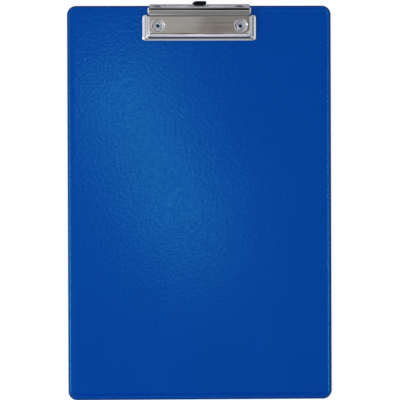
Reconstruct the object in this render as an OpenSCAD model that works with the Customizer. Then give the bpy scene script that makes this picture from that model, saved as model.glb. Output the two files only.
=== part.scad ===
// Clipboard with a film-covered board, a riveted low lever clip and a pull-out hanger.
// Millimetres. The board lies in the XY plane, back face on Z = 0, clip end towards +Y.

/* [Board] */
// Width of the board over its welded edge
board_w = 233; // [180:1:300]
// Length of the board over its welded edge
board_h = 348; // [250:1:460]
// Radius of the board's corners
corner_r = 8; // [5:0.5:20]
// Thickness of the greyboard core
core_t = 2.2; // [1.6:0.1:4]
// Thickness of one plastic film
film_t = 0.3; // [0.2:0.05:0.5]
// Width of the flat weld outside the core
weld_w = 1.6; // [1:0.1:3]

/* [Clip] */
// Width of the clip over its side flanges
clip_w = 100; // [80:1:125]
// Distance from the board's end to the clip's front lip
clip_depth = 30.7; // [29:0.1:40]
// Thickness of the clip's steel sheet
sheet_t = 0.8; // [0.6:0.05:1]
// Height of the jaw's flat top above the board's face
pan_rise = 7.2; // [6.8:0.1:8.6]
// Width of the jaw's side flanges
side_flange = 4.2; // [3:0.1:6]
// Width of the jaw's front flange
front_flange = 2.1; // [1.6:0.1:4]
// How far the jaw's side walls lean out
side_lean = 1.7; // [0.5:0.1:3]
// How far the jaw's front wall leans out
front_lean = 1.2; // [0.5:0.1:2.4]
// How far in the round crest of a side wall reaches
side_crest = 1.5; // [0.8:0.1:1.7]
// How far in the round crest of the front wall reaches
front_crest = 2.9; // [0.8:0.1:3.4]
// Height of the round crest
crest_drop = 1.6; // [0.8:0.1:2.4]
// Radius of the hole in the jaw over each rivet
access_r = 5.8; // [4.5:0.1:7]
// Length of the lever below its slight bend
lever_low = 3.0; // [2:0.1:8]
// Length of the lever above its slight bend
lever_high = 2.9; // [2:0.1:8]
// Angle between the lever's lower part and the board
lever_angle = 61; // [45:1:70]
// Angle at which the lever leans back at its bend
lever_bend = 6; // [0:1:15]

/* [Hinge] */
// Distance from the board's end to the hinge pin's axis
pin_inset = 5; // [4.5:0.1:7]
// Diameter of the hinge pin
pin_d = 2.5; // [2:0.1:3]
// Running clearance of the jaw's ears on the pin, on the radius
pin_fit = 0.06; // [0.02:0.01:0.1]
// Diameter of the spring wire
wire_d = 1.2; // [0.9:0.05:1.5]
// Gap between neighbouring curls of the spring
curl_gap = 0.75; // [0.5:0.05:1.2]
// Whole curls in each half of the spring
curls = 5; // [3:1:8]

/* [Rivets] */
// Distance from each rivet in to the side edge of the jaw's flat top
rivet_side = 7.6; // [7:0.1:12]
// Distance from the board's end to the rivets
rivet_inset = 18; // [16:0.1:20]
// Radius of the rivet's shank
shank_r = 2; // [1.8:0.1:2.5]
// Radius of the hole through the rivet
rivet_bore_r = 1.4; // [1:0.05:1.6]
// Radius of the rivet's head
head_r = 3.5; // [3:0.1:4.2]

/* [Hanger] */
// Width of the hanger's tongue
tongue_w = 12.8; // [10:0.1:14]
// Thickness of the hanger
tongue_t = 1.4; // [1:0.05:1.5]
// How far the hanger's tip stands past the board's end
tip_out = 4; // [2:0.1:8]
// Radius of the hanger's eye
eye_r = 3; // [2:0.1:3.5]
// How far the hanger pulls out
hanger_travel = 11.5; // [8:0.1:12]

/* [Hidden] */
$fn = 64;
CUT = 1;
LEVEL = 0.01;

// Heights of the board's layers
core_z = film_t;
core_top_z = core_z + core_t;
face_z = core_top_z + film_t;
weld_z = face_z / 2;
end_y = board_h / 2;
core_inset = weld_w + film_t;

// The spring's coil decides how high the pin stands, and the barrel goes round the coil
pin_room = 0.75;
coil_clear = 0.6;
barrel_room = 0.9;
wire_r = wire_d / 2;
coil_r = pin_d / 2 + pin_room + wire_r;
coil_outer_r = coil_r + wire_r;
pin_y = end_y - pin_inset;
pin_z = face_z + sheet_t + coil_clear + coil_outer_r;
barrel_inner_r = coil_outer_r + barrel_room;
barrel_mid_r = barrel_inner_r + sheet_t / 2;

// The jaw's pressed pan, measured over its outside
pan_z = face_z + pan_rise;
wall_rise = pan_rise - crest_drop;
pan_foot_half = clip_w / 2 - side_flange;
pan_top_half = pan_foot_half - side_lean;
lip_y = end_y - clip_depth;
pan_foot_y = lip_y + front_flange;
pan_top_y = pan_foot_y + front_lean;
base_ear_r = 2.8;
ear_step = 0.5;
flange_back_y = pin_y - base_ear_r - ear_step;
pan_corner_r = 3;
flange_corner_r = 2.5;
side_plan_t = sheet_t * norm([side_lean, wall_rise]) / wall_rise;
front_plan_t = sheet_t * norm([front_lean, wall_rise]) / wall_rise;

// The jaw's ears hang inside the base's ears, and the pin's heads are outside both
ear_gap = 0.2;
lug_r = 3.2;
head_gap = 0.05;
base_ear_in = pan_top_half + ear_gap;
base_ear_out = base_ear_in + sheet_t;
pin_head_r = 2.8;
pin_head_h = 1.15;
pin_head_in = base_ear_out + head_gap;
pin_sunk = 0.4;

// The base plate lies inside the pan, and a strap bent up from it guides the hanger
base_side_gap = 2.4;
base_front_gap = 1.2;
base_back_inset = 1;
base_half = pan_foot_half - side_plan_t - base_side_gap;
base_front_y = pan_foot_y + front_plan_t + base_front_gap;
base_back_y = end_y - base_back_inset;
base_corner_r = 4;
slide_gap = 0.3;
tongue_half = tongue_w / 2;
tongue_lift = 0.05;
tongue_room = 0.2;
strap_inset = 9.5;
strap_len = 3.1;
strap_half = tongue_half + slide_gap;
strap_z = face_z + tongue_lift + tongue_t + tongue_room;
strap_front_y = end_y - strap_inset;
foot_step = 2;
foot_len = 2.6;
foot_half = tongue_half + foot_step;
foot_back_y = strap_front_y - slide_gap - hanger_travel;
foot_front_y = foot_back_y - foot_len;
slot_half = foot_half + slide_gap;
slot_front_y = foot_front_y - slide_gap;
eye_inset = 7.2;
tip_y = end_y + tip_out;
eye_y = tip_y - eye_inset;
tip_round_r = 4.2;
tip_corner_r = 1.2;
grip_w = 1;
grip_h = 0.5;

// Rivets
rivet_x = pan_top_half - rivet_side;
rivet_y = end_y - rivet_inset;
rivet_fit = 0.05;
head_t = 0.9;
tail_r = 3.7;
tail_t = 0.7;
tail_z = core_z;
tail_room = 0.1;

// Plain shapes that several pieces share

module rounded_rect(w, h, r) {
    union() {
        square([w - 2 * r, h], center = true);
        square([w, h - 2 * r], center = true);
        for (sx = [-1, 1], sy = [-1, 1]) {
            translate([sx * (w / 2 - r), sy * (h / 2 - r)]) circle(r);
        }
    }
}

// A slab of the board's outline, drawn in by inset, from z0 to z1
module board_slab(inset, z0, z1) {
    translate([0, 0, z0]) linear_extrude(z1 - z0) {
        rounded_rect(board_w - 2 * inset, board_h - 2 * inset, corner_r - inset);
    }
}

// A round rod along Z at both rivets
module at_rivets(r, z0, z1) {
    for (side = [-1, 1]) {
        translate([side * rivet_x, rivet_y, z0]) cylinder(r = r, h = z1 - z0);
    }
}

// Turns an outline drawn in Y and Z about the pin into a slab from x0 to x1
module across_pin(x0, x1) {
    translate([x0, pin_y, pin_z]) rotate([90, 0, 90]) linear_extrude(x1 - x0) children();
}

// The board: a stiff core between two films that meet in a weld outside it. The core has a
// recess at the back for each rivet's tail, and the back film runs on behind the tails.

module board_core() {
    color("burlywood") difference() {
        board_slab(core_inset, core_z, core_top_z);
        at_rivets(tail_r + tail_room, core_z - CUT, tail_z + tail_t + tail_room);
        at_rivets(shank_r + rivet_fit, 0, face_z);
    }
}

module front_cover() {
    color("royalblue") difference() {
        union() {
            board_slab(core_inset - film_t, weld_z, face_z);
            board_slab(0, weld_z, weld_z + film_t);
        }
        board_slab(core_inset, weld_z - CUT, core_top_z);
        at_rivets(shank_r + rivet_fit, 0, face_z + CUT);
    }
}

module back_cover() {
    color("mediumblue") difference() {
        union() {
            board_slab(core_inset - film_t, 0, weld_z);
            board_slab(0, weld_z - film_t, weld_z);
        }
        board_slab(core_inset, core_z, weld_z + CUT);
    }
}

// The clip's base: a plate with an ear at each end and a raised strap in the middle

module base_outline() {
    depth = base_back_y - base_front_y;
    translate([0, base_front_y + depth / 2]) rounded_rect(2 * base_half, depth, base_corner_r);
    // Square shoulders at the back, which carry the ears
    translate([-base_ear_out, pin_y - base_ear_r]) square([2 * base_ear_out, 2 * base_ear_r]);
}

module base_ear(side) {
    x0 = side > 0 ? base_ear_in : -base_ear_out;
    foot = pin_z - face_z;
    across_pin(x0, x0 + sheet_t) {
        circle(base_ear_r);
        translate([-base_ear_r, -foot]) square([2 * base_ear_r, foot]);
    }
}

module clip_base() {
    roof_half = strap_half + sheet_t;
    color("silver") difference() {
        union() {
            translate([0, 0, face_z]) linear_extrude(sheet_t) base_outline();
            translate([-roof_half, strap_front_y, face_z]) {
                cube([2 * roof_half, strap_len, strap_z + sheet_t - face_z]);
            }
            base_ear(1);
            base_ear(-1);
        }
        // Way for the hanger's tongue under the strap and out at the back
        translate([-strap_half, strap_front_y - CUT, face_z - CUT]) {
            cube([2 * strap_half, base_back_y - strap_front_y + 2 * CUT, strap_z - face_z + CUT]);
        }
        // Way for the hanger's foot in front of the strap
        translate([-slot_half, slot_front_y, face_z - CUT]) {
            cube([2 * slot_half, strap_front_y - slot_front_y, sheet_t + 2 * CUT]);
        }
        at_rivets(shank_r + rivet_fit, face_z - CUT, face_z + sheet_t + CUT);
        across_pin(-base_ear_out - CUT, base_ear_out + CUT) circle(pin_d / 2);
    }
}

// The jaw: a pressed pan with a flange, which runs into a barrel round the spring
// and then into the lever

// Middle line of the sheet from the pan over the barrel to the lever's top, about the pin
pan_mid_v = pan_z - sheet_t / 2 - pin_z;
dip_r = 2;
dip_c = [-sqrt(pow(barrel_mid_r + dip_r, 2) - pow(pan_mid_v + dip_r, 2)), pan_mid_v + dip_r];
dip_end = atan2(-dip_c[1], -dip_c[0]);
crease_r = 0.7;
crease_at = 76;
crease_c = polar(barrel_mid_r + crease_r, crease_at);
function polar(r, a) = r * [cos(a), sin(a)];
function arc(c, r, a0, a1, n) = [for (i = [0:n]) c + polar(r, a0 + (a1 - a0) * i / n)];
crease_end = crease_c + polar(crease_r, lever_angle - 90);
lever_mid = crease_end + polar(lever_low, lever_angle);
top_angle = lever_angle - lever_bend;
lever_top = lever_mid + polar(lever_high, top_angle);
sheet_line = concat(
    [dip_c + [-2, -dip_r]],
    arc(dip_c, dip_r, -90, dip_end, 5),
    arc([0, 0], barrel_mid_r, dip_end + 180 - 5, crease_at + 5, 10),
    arc(crease_c, crease_r, crease_at - 180, lever_angle - 90, 5),
    [lever_mid, lever_top]
);

// Left-hand unit normal of the line at point i
function heading(line, i) = let (
        a = line[max(i - 1, 0)],
        b = line[min(i + 1, len(line) - 1)]
    ) (b - a) / norm(b - a);
function left_of(d) = [-d[1], d[0]];
function beside(line, off) = [for (i = [0:len(line) - 1]) line[i] + off * left_of(heading(line, i))];
function reversed(list) = [for (i = [len(list) - 1:-1:0]) list[i]];

module sheet_section() {
    polygon(concat(beside(sheet_line, sheet_t / 2), reversed(beside(sheet_line, -sheet_t / 2))));
}

// One thin level of the pan: round front corners, square back corners
module pan_level(half, front_y, z) {
    back = 1;
    translate([0, 0, z - LEVEL]) linear_extrude(LEVEL) {
        for (side = [-1, 1]) {
            translate([side * (half - pan_corner_r), front_y + pan_corner_r]) circle(pan_corner_r, $fn = 32);
            translate([side * (half - back / 2), flange_back_y - back / 2]) square(back, center = true);
        }
    }
}

// The pan as a solid, from its foot to its rounded crest, drawn in by side and front
module pan_solid(side, front, foot_z, top_z) {
    hull() {
        pan_level(pan_foot_half - side, pan_foot_y + front, foot_z + LEVEL);
        for (a = [0:18:90]) {
            half = pan_top_half - side - side_crest * (1 - sin(a));
            front_y = pan_top_y + front + front_crest * (1 - sin(a));
            pan_level(half, front_y, top_z - crest_drop * (1 - cos(a)));
        }
    }
}

module flange_outline() {
    difference() {
        translate([0, (lip_y + flange_back_y) / 2]) {
            rounded_rect(clip_w, flange_back_y - lip_y, flange_corner_r);
        }
        inner_half = pan_foot_half - side_plan_t;
        inner_y = pan_foot_y + front_plan_t;
        translate([0, inner_y + (CUT + flange_back_y - inner_y) / 2]) {
            square([2 * inner_half, CUT + flange_back_y - inner_y], center = true);
        }
    }
}

module jaw_ear(side) {
    x0 = side > 0 ? pan_top_half - sheet_t : -pan_top_half;
    across_pin(x0, x0 + sheet_t) {
        circle(lug_r);
        intersection() {
            circle(barrel_mid_r);
            translate([-barrel_mid_r, 0]) square([1.5 * barrel_mid_r, barrel_mid_r]);
        }
    }
}

module lever_notch() {
    notch_half = tongue_half;
    notch_deep = 1.7;
    notch_len = 2 * sheet_t + 0.4;
    notch_r = (pow(notch_half, 2) + pow(notch_deep, 2)) / (2 * notch_deep);
    translate([0, pin_y + lever_top[0], pin_z + lever_top[1]]) rotate([top_angle - 90, 0, 0]) {
        translate([0, 0, notch_r - notch_deep]) rotate([90, 0, 0]) {
            cylinder(r = notch_r, h = notch_len, center = true);
        }
    }
}

module clip_jaw() {
    color("lightgray") difference() {
        union() {
            difference() {
                pan_solid(0, 0, face_z, pan_z);
                pan_solid(side_plan_t, front_plan_t, face_z - CUT, pan_z - sheet_t);
                // The back is open under the barrel
                translate([-pan_top_half - side_lean, pin_y - barrel_mid_r, face_z - 2 * CUT]) {
                    cube([2 * (pan_top_half + side_lean), barrel_mid_r, pan_rise - sheet_t]);
                }
            }
            translate([0, 0, face_z]) linear_extrude(sheet_t) flange_outline();
            across_pin(-pan_top_half, pan_top_half) sheet_section();
            jaw_ear(1);
            jaw_ear(-1);
        }
        across_pin(-pan_top_half + sheet_t, pan_top_half - sheet_t) circle(barrel_inner_r);
        across_pin(-clip_w, clip_w) circle(pin_d / 2 + pin_fit);
        at_rivets(access_r, pan_z - 2 * sheet_t, pan_z + CUT);
        lever_notch();
    }
}

// The hinge pin, with a domed head outside each of the base's ears

module pin_head() {
    dome_r = (pow(pin_head_r, 2) + pow(pin_head_h, 2)) / (2 * pin_head_h);
    intersection() {
        translate([0, 0, pin_head_h - dome_r]) sphere(dome_r);
        cylinder(r = pin_head_r, h = pin_head_h + CUT);
    }
}

module pivot_pin() {
    color("gainsboro") translate([0, pin_y, pin_z]) {
        rotate([0, 90, 0]) cylinder(r = pin_d / 2, h = 2 * pin_head_in + pin_sunk, center = true);
        for (side = [-1, 1]) {
            translate([side * pin_head_in, 0, 0]) rotate([0, side * 90, 0]) pin_head();
        }
    }
}

// The spring: one wire with a coil each side of the middle, whose inner ends join in a
// bail behind the lever and whose outer ends press on the base. Points are [x, y, z] about the pin.

curl_pitch = wire_d + curl_gap;
rings_per_curl = 8;
coil_side_gap = 0.8;
coil_start_x = strap_half + sheet_t + coil_side_gap + wire_r;
coil_from = 100;
leg_drop = 8.2;
coil_turn = 360 * curls + 270 - leg_drop - coil_from;
coil_steps = ceil(coil_turn / 360 * rings_per_curl);
bail_gap = 0.25;
bail_off = polar(wire_r + sheet_t / 2 + bail_gap, lever_angle - 90);
bail_low = crease_end + bail_off;
bail_high = lever_mid + bail_off;
bail_bend_r = 1.4;
hook_low = bail_low - [0.75, 0.85];
coil_lead = [1, 0.15];
leg_len = 3.6;
coil_points = [
    for (i = [0:coil_steps]) let (a = coil_from + coil_turn * i / coil_steps) [
        coil_start_x + curl_pitch * coil_turn / 360 * i / coil_steps,
        coil_r * cos(a),
        coil_r * sin(a)
    ]
];
coil_last = coil_points[coil_steps];
leg_points = [for (s = [0.5, 1]) coil_last + s * leg_len * [0, cos(leg_drop), -sin(leg_drop)]];
// Corner of the bail: down from the cross bar, then forward to the top of the coil
bail_points = [
    [0, bail_high[0], bail_high[1]],
    [(coil_start_x - bail_bend_r) / 2, bail_high[0], bail_high[1]],
    [coil_start_x - bail_bend_r, bail_high[0], bail_high[1]],
    for (a = [30, 60, 90]) [
        coil_start_x - bail_bend_r * (1 - sin(a)),
        bail_high[0] - bail_bend_r * (1 - cos(a)) * cos(lever_angle),
        bail_high[1] - bail_bend_r * (1 - cos(a)) * sin(lever_angle)
    ],
    [coil_start_x, bail_low[0], bail_low[1]],
    [coil_start_x, hook_low[0], hook_low[1]],
    [coil_start_x, coil_points[0][1] + coil_lead[0], coil_points[0][2] + coil_lead[1]]
];
half_wire = concat(bail_points, coil_points, leg_points);
function mirrored(p) = [-p[0], p[1], p[2]];
wire_line = concat(
    [for (i = [len(half_wire) - 1:-1:1]) mirrored(half_wire[i])],
    half_wire
);
wire_count = len(wire_line);

// Smallest distance between stretches of the wire more than half a curl apart along it
wire_gap = min([
    for (i = [0:wire_count - 1], j = [i + 5:1:wire_count - 1]) norm(wire_line[i] - wire_line[j])
]) - wire_d;
echo(least_gap_between_curls_mm = wire_gap);

// The wire's cross-section keeps its heading from ring to ring
function unit(v) = v / norm(v);
function along(line, i) = unit(line[min(i + 1, len(line) - 1)] - line[max(i - 1, 0)]);
function square_to(v, d) = unit(v - (v * d) * d);
wire_sides = 6;
wire_up = [
    for (
        i = 0, up = square_to([1, 0, 0], along(wire_line, 0));
        i < wire_count;
        i = i + 1, up = i < wire_count ? square_to(up, along(wire_line, i)) : up
    ) up
];
wire_rings = [
    for (i = [0:wire_count - 1]) let (up = wire_up[i], out = cross(along(wire_line, i), up)) [
        for (k = [0:wire_sides - 1]) let (a = 360 * k / wire_sides) (
            wire_line[i] + wire_r * (cos(a) * up + sin(a) * out)
        )
    ]
];

module torsion_spring() {
    last = wire_count - 1;
    s = wire_sides;
    points = [for (ring = wire_rings) each ring];
    sides = [
        for (i = [0:last - 1], k = [0:s - 1]) let (a = i * s + k, b = i * s + (k + 1) % s) each [
            [a, a + s, b],
            [b, a + s, b + s]
        ]
    ];
    ends = [for (k = [1:s - 2]) each [[0, k, k + 1], [last * s, last * s + k + 1, last * s + k]]];
    color("dimgray") translate([0, pin_y, pin_z]) polyhedron(points, concat(sides, ends));
}

// Hollow rivets, with a rounded head on the base plate and a rolled tail in the dimple

module rivet(side) {
    seat_z = face_z + sheet_t;
    round_r = head_t / 2;
    color("whitesmoke") translate([side * rivet_x, rivet_y, 0]) rotate_extrude() {
        difference() {
            union() {
                translate([0, tail_z]) square([shank_r, seat_z - tail_z + head_t]);
                translate([0, seat_z]) square([head_r - round_r, head_t]);
                translate([head_r - round_r, seat_z + round_r]) circle(round_r, $fn = 32);
                translate([0, tail_z]) square([tail_r - tail_t / 2, tail_t]);
                translate([tail_r - tail_t / 2, tail_z + tail_t / 2]) circle(tail_t / 2, $fn = 32);
            }
            translate([0, -CUT]) square([rivet_bore_r, seat_z + head_t + 2 * CUT]);
        }
    }
}

module rivet_left() {
    rivet(-1);
}

module rivet_right() {
    rivet(1);
}

// The hanger: a flat tongue with an eye, one round and one square corner at its tip,
// and a wide foot that stops against the strap

module tongue_outline() {
    difference() {
        union() {
            translate([-tongue_half, foot_front_y]) square([tongue_w, tip_y - tip_round_r - foot_front_y]);
            translate([tip_round_r - tongue_half, tip_y - tip_round_r - CUT]) {
                square([tongue_w - tip_round_r - tip_corner_r, tip_round_r + CUT]);
            }
            translate([0, tip_y - tip_round_r - CUT]) {
                square([tongue_half, tip_round_r + CUT - tip_corner_r]);
            }
            translate([tip_round_r - tongue_half, tip_y - tip_round_r]) circle(tip_round_r);
            translate([tongue_half - tip_corner_r, tip_y - tip_corner_r]) circle(tip_corner_r);
            translate([-foot_half, foot_front_y]) square([2 * foot_half, foot_len]);
        }
        translate([0, eye_y]) circle(eye_r);
    }
}

module hanging_tab() {
    grip_x = tip_round_r - tongue_half;
    grip_len = tongue_w - tip_round_r - tip_corner_r;
    color("black") translate([0, 0, face_z + tongue_lift]) {
        linear_extrude(tongue_t) tongue_outline();
        translate([grip_x, tip_y - 2 * grip_w, 0]) cube([grip_len, grip_w, tongue_t + grip_h]);
    }
}

board_core();
front_cover();
back_cover();
clip_base();
clip_jaw();
pivot_pin();
torsion_spring();
rivet_left();
rivet_right();
hanging_tab();
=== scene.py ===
# %% [markdown]
# # A film-covered clipboard with a low lever clip
#
# The object is a greyboard panel between two sheets of blue PVC film that are welded together
# all round it, and a sprung steel clip that two hollow rivets hold at one end. A black plastic
# hanger slides out from under the clip. The engineering model already fixes every size, every
# joint and every place, so this script only remakes the surfaces at a finer grain: rolled
# edges, pressed corners, plating and film grain. It reads its sizes from that model first.

# %% Load the frame
import math

import bmesh
import bpy
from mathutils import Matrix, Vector
from mathutils.geometry import tessellate_polygon


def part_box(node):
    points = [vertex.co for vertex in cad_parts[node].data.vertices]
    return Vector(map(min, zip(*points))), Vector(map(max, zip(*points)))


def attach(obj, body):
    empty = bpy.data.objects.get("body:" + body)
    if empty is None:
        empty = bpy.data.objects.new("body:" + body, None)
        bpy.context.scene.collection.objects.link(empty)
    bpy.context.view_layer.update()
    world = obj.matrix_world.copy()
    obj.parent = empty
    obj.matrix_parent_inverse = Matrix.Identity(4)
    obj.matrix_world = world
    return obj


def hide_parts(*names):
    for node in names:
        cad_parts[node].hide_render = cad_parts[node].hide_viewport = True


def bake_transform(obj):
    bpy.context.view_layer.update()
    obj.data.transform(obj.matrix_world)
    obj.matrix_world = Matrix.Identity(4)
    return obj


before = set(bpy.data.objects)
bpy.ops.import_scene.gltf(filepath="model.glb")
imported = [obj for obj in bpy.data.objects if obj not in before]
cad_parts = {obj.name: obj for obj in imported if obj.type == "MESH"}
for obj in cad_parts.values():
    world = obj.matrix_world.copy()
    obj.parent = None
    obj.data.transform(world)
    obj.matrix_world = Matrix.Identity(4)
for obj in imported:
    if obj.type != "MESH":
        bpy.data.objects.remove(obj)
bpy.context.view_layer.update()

print("nodes:", sorted(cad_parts))

# %% [markdown]
# ## Sizes
#
# People who press and weld such boards think in millimetres, so the outlines below are written
# in millimetres and turned into metres once, when a mesh is made. The places that matter, such
# as the board's edge, the pin's axis and the rivets, are measured on the engineering model's
# own pieces. What a box can't tell, such as the thickness of a sheet, is a named value.

# %% Sizes read from the frame
MM = 0.001


def box_mm(node):
    """Lowest and highest corner of an engineering piece, in millimetres."""
    low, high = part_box(node)
    return low / MM, high / MM


cover_low, cover_high = box_mm("front_cover")
jaw_low, jaw_high = box_mm("clip_jaw")
base_high = box_mm("clip_base")[1]
pin_low, pin_high = box_mm("pivot_pin")
rivet_low, rivet_high = box_mm("rivet_right")
tab_low, tab_high = box_mm("hanging_tab")

HALF_W = cover_high.x
HALF_H = cover_high.y
FACE_Z = cover_high.z
WELD_Z = cover_low.z
PIN_Y = (pin_low.y + pin_high.y) / 2
PIN_Z = (pin_low.z + pin_high.z) / 2
RIVET_X = (rivet_low.x + rivet_high.x) / 2
RIVET_Y = (rivet_low.y + rivet_high.y) / 2

FILM = 0.3
SHEET = 0.8
CORNER_R = 8.0
print(f"board {2 * HALF_W:.1f} x {2 * HALF_H:.1f} x {FACE_Z:.1f} mm")
print(f"hinge pin at y {PIN_Y:.1f}, z {PIN_Z:.1f} mm; rivets at x {RIVET_X:.1f}, y {RIVET_Y:.1f} mm")

# %% [markdown]
# ## Three ways to make a surface
#
# Nearly everything here is sheet: film, board or steel. Such a form is a set of rows of points
# with faces between neighbouring rows, a flat outline filled with triangles, or a flat outline
# given a thickness. The helpers below make these three. Points that fall together are
# shared as they are added, so the pieces come out closed with nothing to merge afterwards.

# %% Rows, fills and prisms


def new_skin():
    """An empty surface: its points, where each point is in the list, and its faces."""
    return {"points": [], "index": {}, "faces": []}


def point(skin, place):
    """The number of a point, which is added if it isn't there yet."""
    key = tuple(round(c, 4) for c in place)
    if key not in skin["index"]:
        skin["index"][key] = len(skin["points"])
        skin["points"].append(tuple(place))
    return skin["index"][key]


def add_face(skin, numbers):
    """Adds a face, without the corners that fall together."""
    kept = list(dict.fromkeys(numbers))
    if len(kept) > 2:
        skin["faces"].append(kept)


def add_rows(skin, rows):
    """Faces between neighbouring rows of points."""
    numbered = [[point(skin, p) for p in row] for row in rows]
    for near, far in zip(numbered, numbered[1:]):
        for k in range(len(near) - 1):
            add_face(skin, (near[k], near[k + 1], far[k + 1], far[k]))


def add_fill(skin, loops):
    """Triangles inside the first loop and outside the others."""
    flat = [p for loop in loops for p in loop]
    for triangle in tessellate_polygon([[Vector(p) for p in loop] for loop in loops]):
        add_face(skin, [point(skin, flat[k]) for k in triangle])


def add_prism(skin, loops, place, start, end):
    """A flat outline with holes, from depth start to depth end. place turns (a, b, depth) into a point."""
    for depth in (start, end):
        add_fill(skin, [[place(a, b, depth) for a, b in loop] for loop in loops])
    for loop in loops:
        closed = loop + loop[:1]
        add_rows(skin, [[place(a, b, depth) for a, b in closed] for depth in (start, end)])


def arc(centre, radius, start, end, steps):
    """Points on an arc, with angles in degrees."""
    turns = [math.radians(start + (end - start) * k / steps) for k in range(steps + 1)]
    return [(centre[0] + radius * math.cos(t), centre[1] + radius * math.sin(t)) for t in turns]


def mix(first, second, share):
    """A value between two others."""
    return first + (second - first) * share


def between(first, last, pace):
    """Evenly spaced values from first to last, about pace apart."""
    count = max(1, round(abs(last - first) / pace))
    return [first + (last - first) * k / count for k in range(count + 1)]


print("helpers: rows, fill, prism")

# %% [markdown]
# ## From points to a finished piece
#
# Sheet metal has one thickness everywhere, so the jaw is modelled as its outer surface only,
# and every point gets a partner one gauge further in along the surface's normal. In a bend
# the partner lies a little further, as the shell factor says, but never much further, or thin
# triangles would throw out spikes. No sheared edge is truly sharp, so Bevel rounds each rim.
# Weighted normals keep the large flat faces flat in reflections right up to their
# rounded borders. The result is turned into a plain mesh, with no modifier left on it.

# %% Make an object and settle its mesh
SHELL_LIMIT = 1.5
RIM_ANGLE = math.radians(42)


def add_object(name, data):
    """A new object in the scene, with a mesh, a curve, a lamp or a camera for its data."""
    made = bpy.data.objects.new(name, data)
    bpy.context.scene.collection.objects.link(made)
    return made


def turn_faces(mesh, closed=True):
    """Turns a mesh's faces outwards, or upwards if it is open."""
    work = bmesh.new()
    work.from_mesh(mesh)
    bmesh.ops.recalc_face_normals(work, faces=work.faces)
    widest = max(work.faces, key=lambda face: face.calc_area())
    if not closed and widest.normal.z < 0:
        bmesh.ops.reverse_faces(work, faces=work.faces)
    work.to_mesh(mesh)
    work.free()


def make_object(name, skin, closed=True):
    """An object from a surface in millimetres."""
    mesh = bpy.data.meshes.new(name)
    mesh.from_pydata([[c * MM for c in p] for p in skin["points"]], [], skin["faces"])
    turn_faces(mesh, closed)
    return add_object(name, mesh)


def thicken(made, gauge):
    """Gives an open surface its gauge, on the side away from its normals."""
    work = bmesh.new()
    work.from_mesh(made.data)
    work.normal_update()
    outer, faces = list(work.verts), list(work.faces)
    rims = [edge.link_loops[0] for edge in work.edges if edge.is_boundary]
    rims = [(loop.vert, loop.link_loop_next.vert) for loop in rims]
    reach = [gauge * MM * min(v.calc_shell_factor(), SHELL_LIMIT) for v in outer]
    inner = {v: work.verts.new(v.co - v.normal * r) for v, r in zip(outer, reach)}
    for face in faces:
        work.faces.new([inner[v] for v in reversed(face.verts)])
    for first, second in rims:
        work.faces.new([second, first, inner[first], inner[second]])
    work.to_mesh(made.data)
    work.free()


def evaluated_mesh(made):
    """The mesh that an object's modifiers make of it."""
    graph = bpy.context.evaluated_depsgraph_get()
    return bpy.data.meshes.new_from_object(made.evaluated_get(graph))


def plain_mesh(made):
    """Replaces an object's mesh by what its modifiers make of it, and removes them."""
    mesh = evaluated_mesh(made)
    made.modifiers.clear()
    made.data = mesh
    mesh.name = made.name
    return made


def settle(made, rim=0.0, rim_steps=2):
    """Rounds a piece's rims by some millimetres, then shades it evenly."""
    made.data.shade_smooth()
    if rim:
        bevel = made.modifiers.new("rim", "BEVEL")
        bevel.width = rim * MM
        bevel.segments = rim_steps
        bevel.limit_method = "ANGLE"
        bevel.angle_limit = RIM_ANGLE
    even = made.modifiers.new("even shading", "WEIGHTED_NORMAL")
    even.mode = "FACE_AREA"
    plain_mesh(made)
    print(f"{made.name}: {len(made.data.vertices)} points, {len(made.data.polygons)} faces")
    return made


def finish_piece(made, body, material, slot, *nodes):
    """Gives a piece its material and its body, and hides the engineering pieces that it stands for. The slot
    is not used.
    """
    made.data.materials.clear()
    made.data.materials.append(material)
    if nodes:
        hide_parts(*nodes)
    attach(made, body)
    return made


# %% [markdown]
# ## Camera
#
# The picture looks down on the board from a little over two metres, from a place slightly to
# the left of it and towards the clip, and the board lies a fifth of a degree askew in it. The
# lens is worked out from how much of the board's plane has to fit the frame, taken as 400
# pixels square.

# %% Camera over the board
FRAME_PIXELS = 400
MM_PER_PIXEL = 0.884
CAMERA_AT = (-73.0, 25.0, 2202.8)
CAMERA_AIM = (0.4, 2.7)
BOARD_ASKEW = 0.0036

camera_data = bpy.data.cameras.new("camera")
camera = add_object("camera", camera_data)
bpy.context.scene.camera = camera
camera_data.lens = camera_data.sensor_width * CAMERA_AT[2] / (FRAME_PIXELS * MM_PER_PIXEL)
camera_data.clip_start = 0.05
camera_data.clip_end = 50
camera.location = Vector(CAMERA_AT) * MM
lean_x = math.atan2(CAMERA_AT[0] - CAMERA_AIM[0], CAMERA_AT[2])
lean_y = math.atan2(CAMERA_AT[1] - CAMERA_AIM[1], CAMERA_AT[2])
camera.rotation_euler = (-lean_y, lean_x, -BOARD_ASKEW)
print(f"lens {camera_data.lens:.1f} mm")

# %% [markdown]
# ## Shader helpers
#
# Each material is a small tree of nodes. Two helpers make and wire a node in one call. Effects
# that several materials share become node groups: pebbled film grain, the drawn lines of rolled
# metal, and the faint unevenness that handling and dust leave on anything.

# %% Nodes in one call


def add_node(tree, kind, inputs=None, **settings):
    """A new node with its settings, and with its inputs set to values or wired to sockets."""
    made = tree.nodes.new(kind)
    for name, value in settings.items():
        setattr(made, name, value)
    for name, value in (inputs or {}).items():
        if isinstance(value, bpy.types.NodeSocket):
            tree.links.new(value, made.inputs[name])
        else:
            made.inputs[name].default_value = value
    return made


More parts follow.
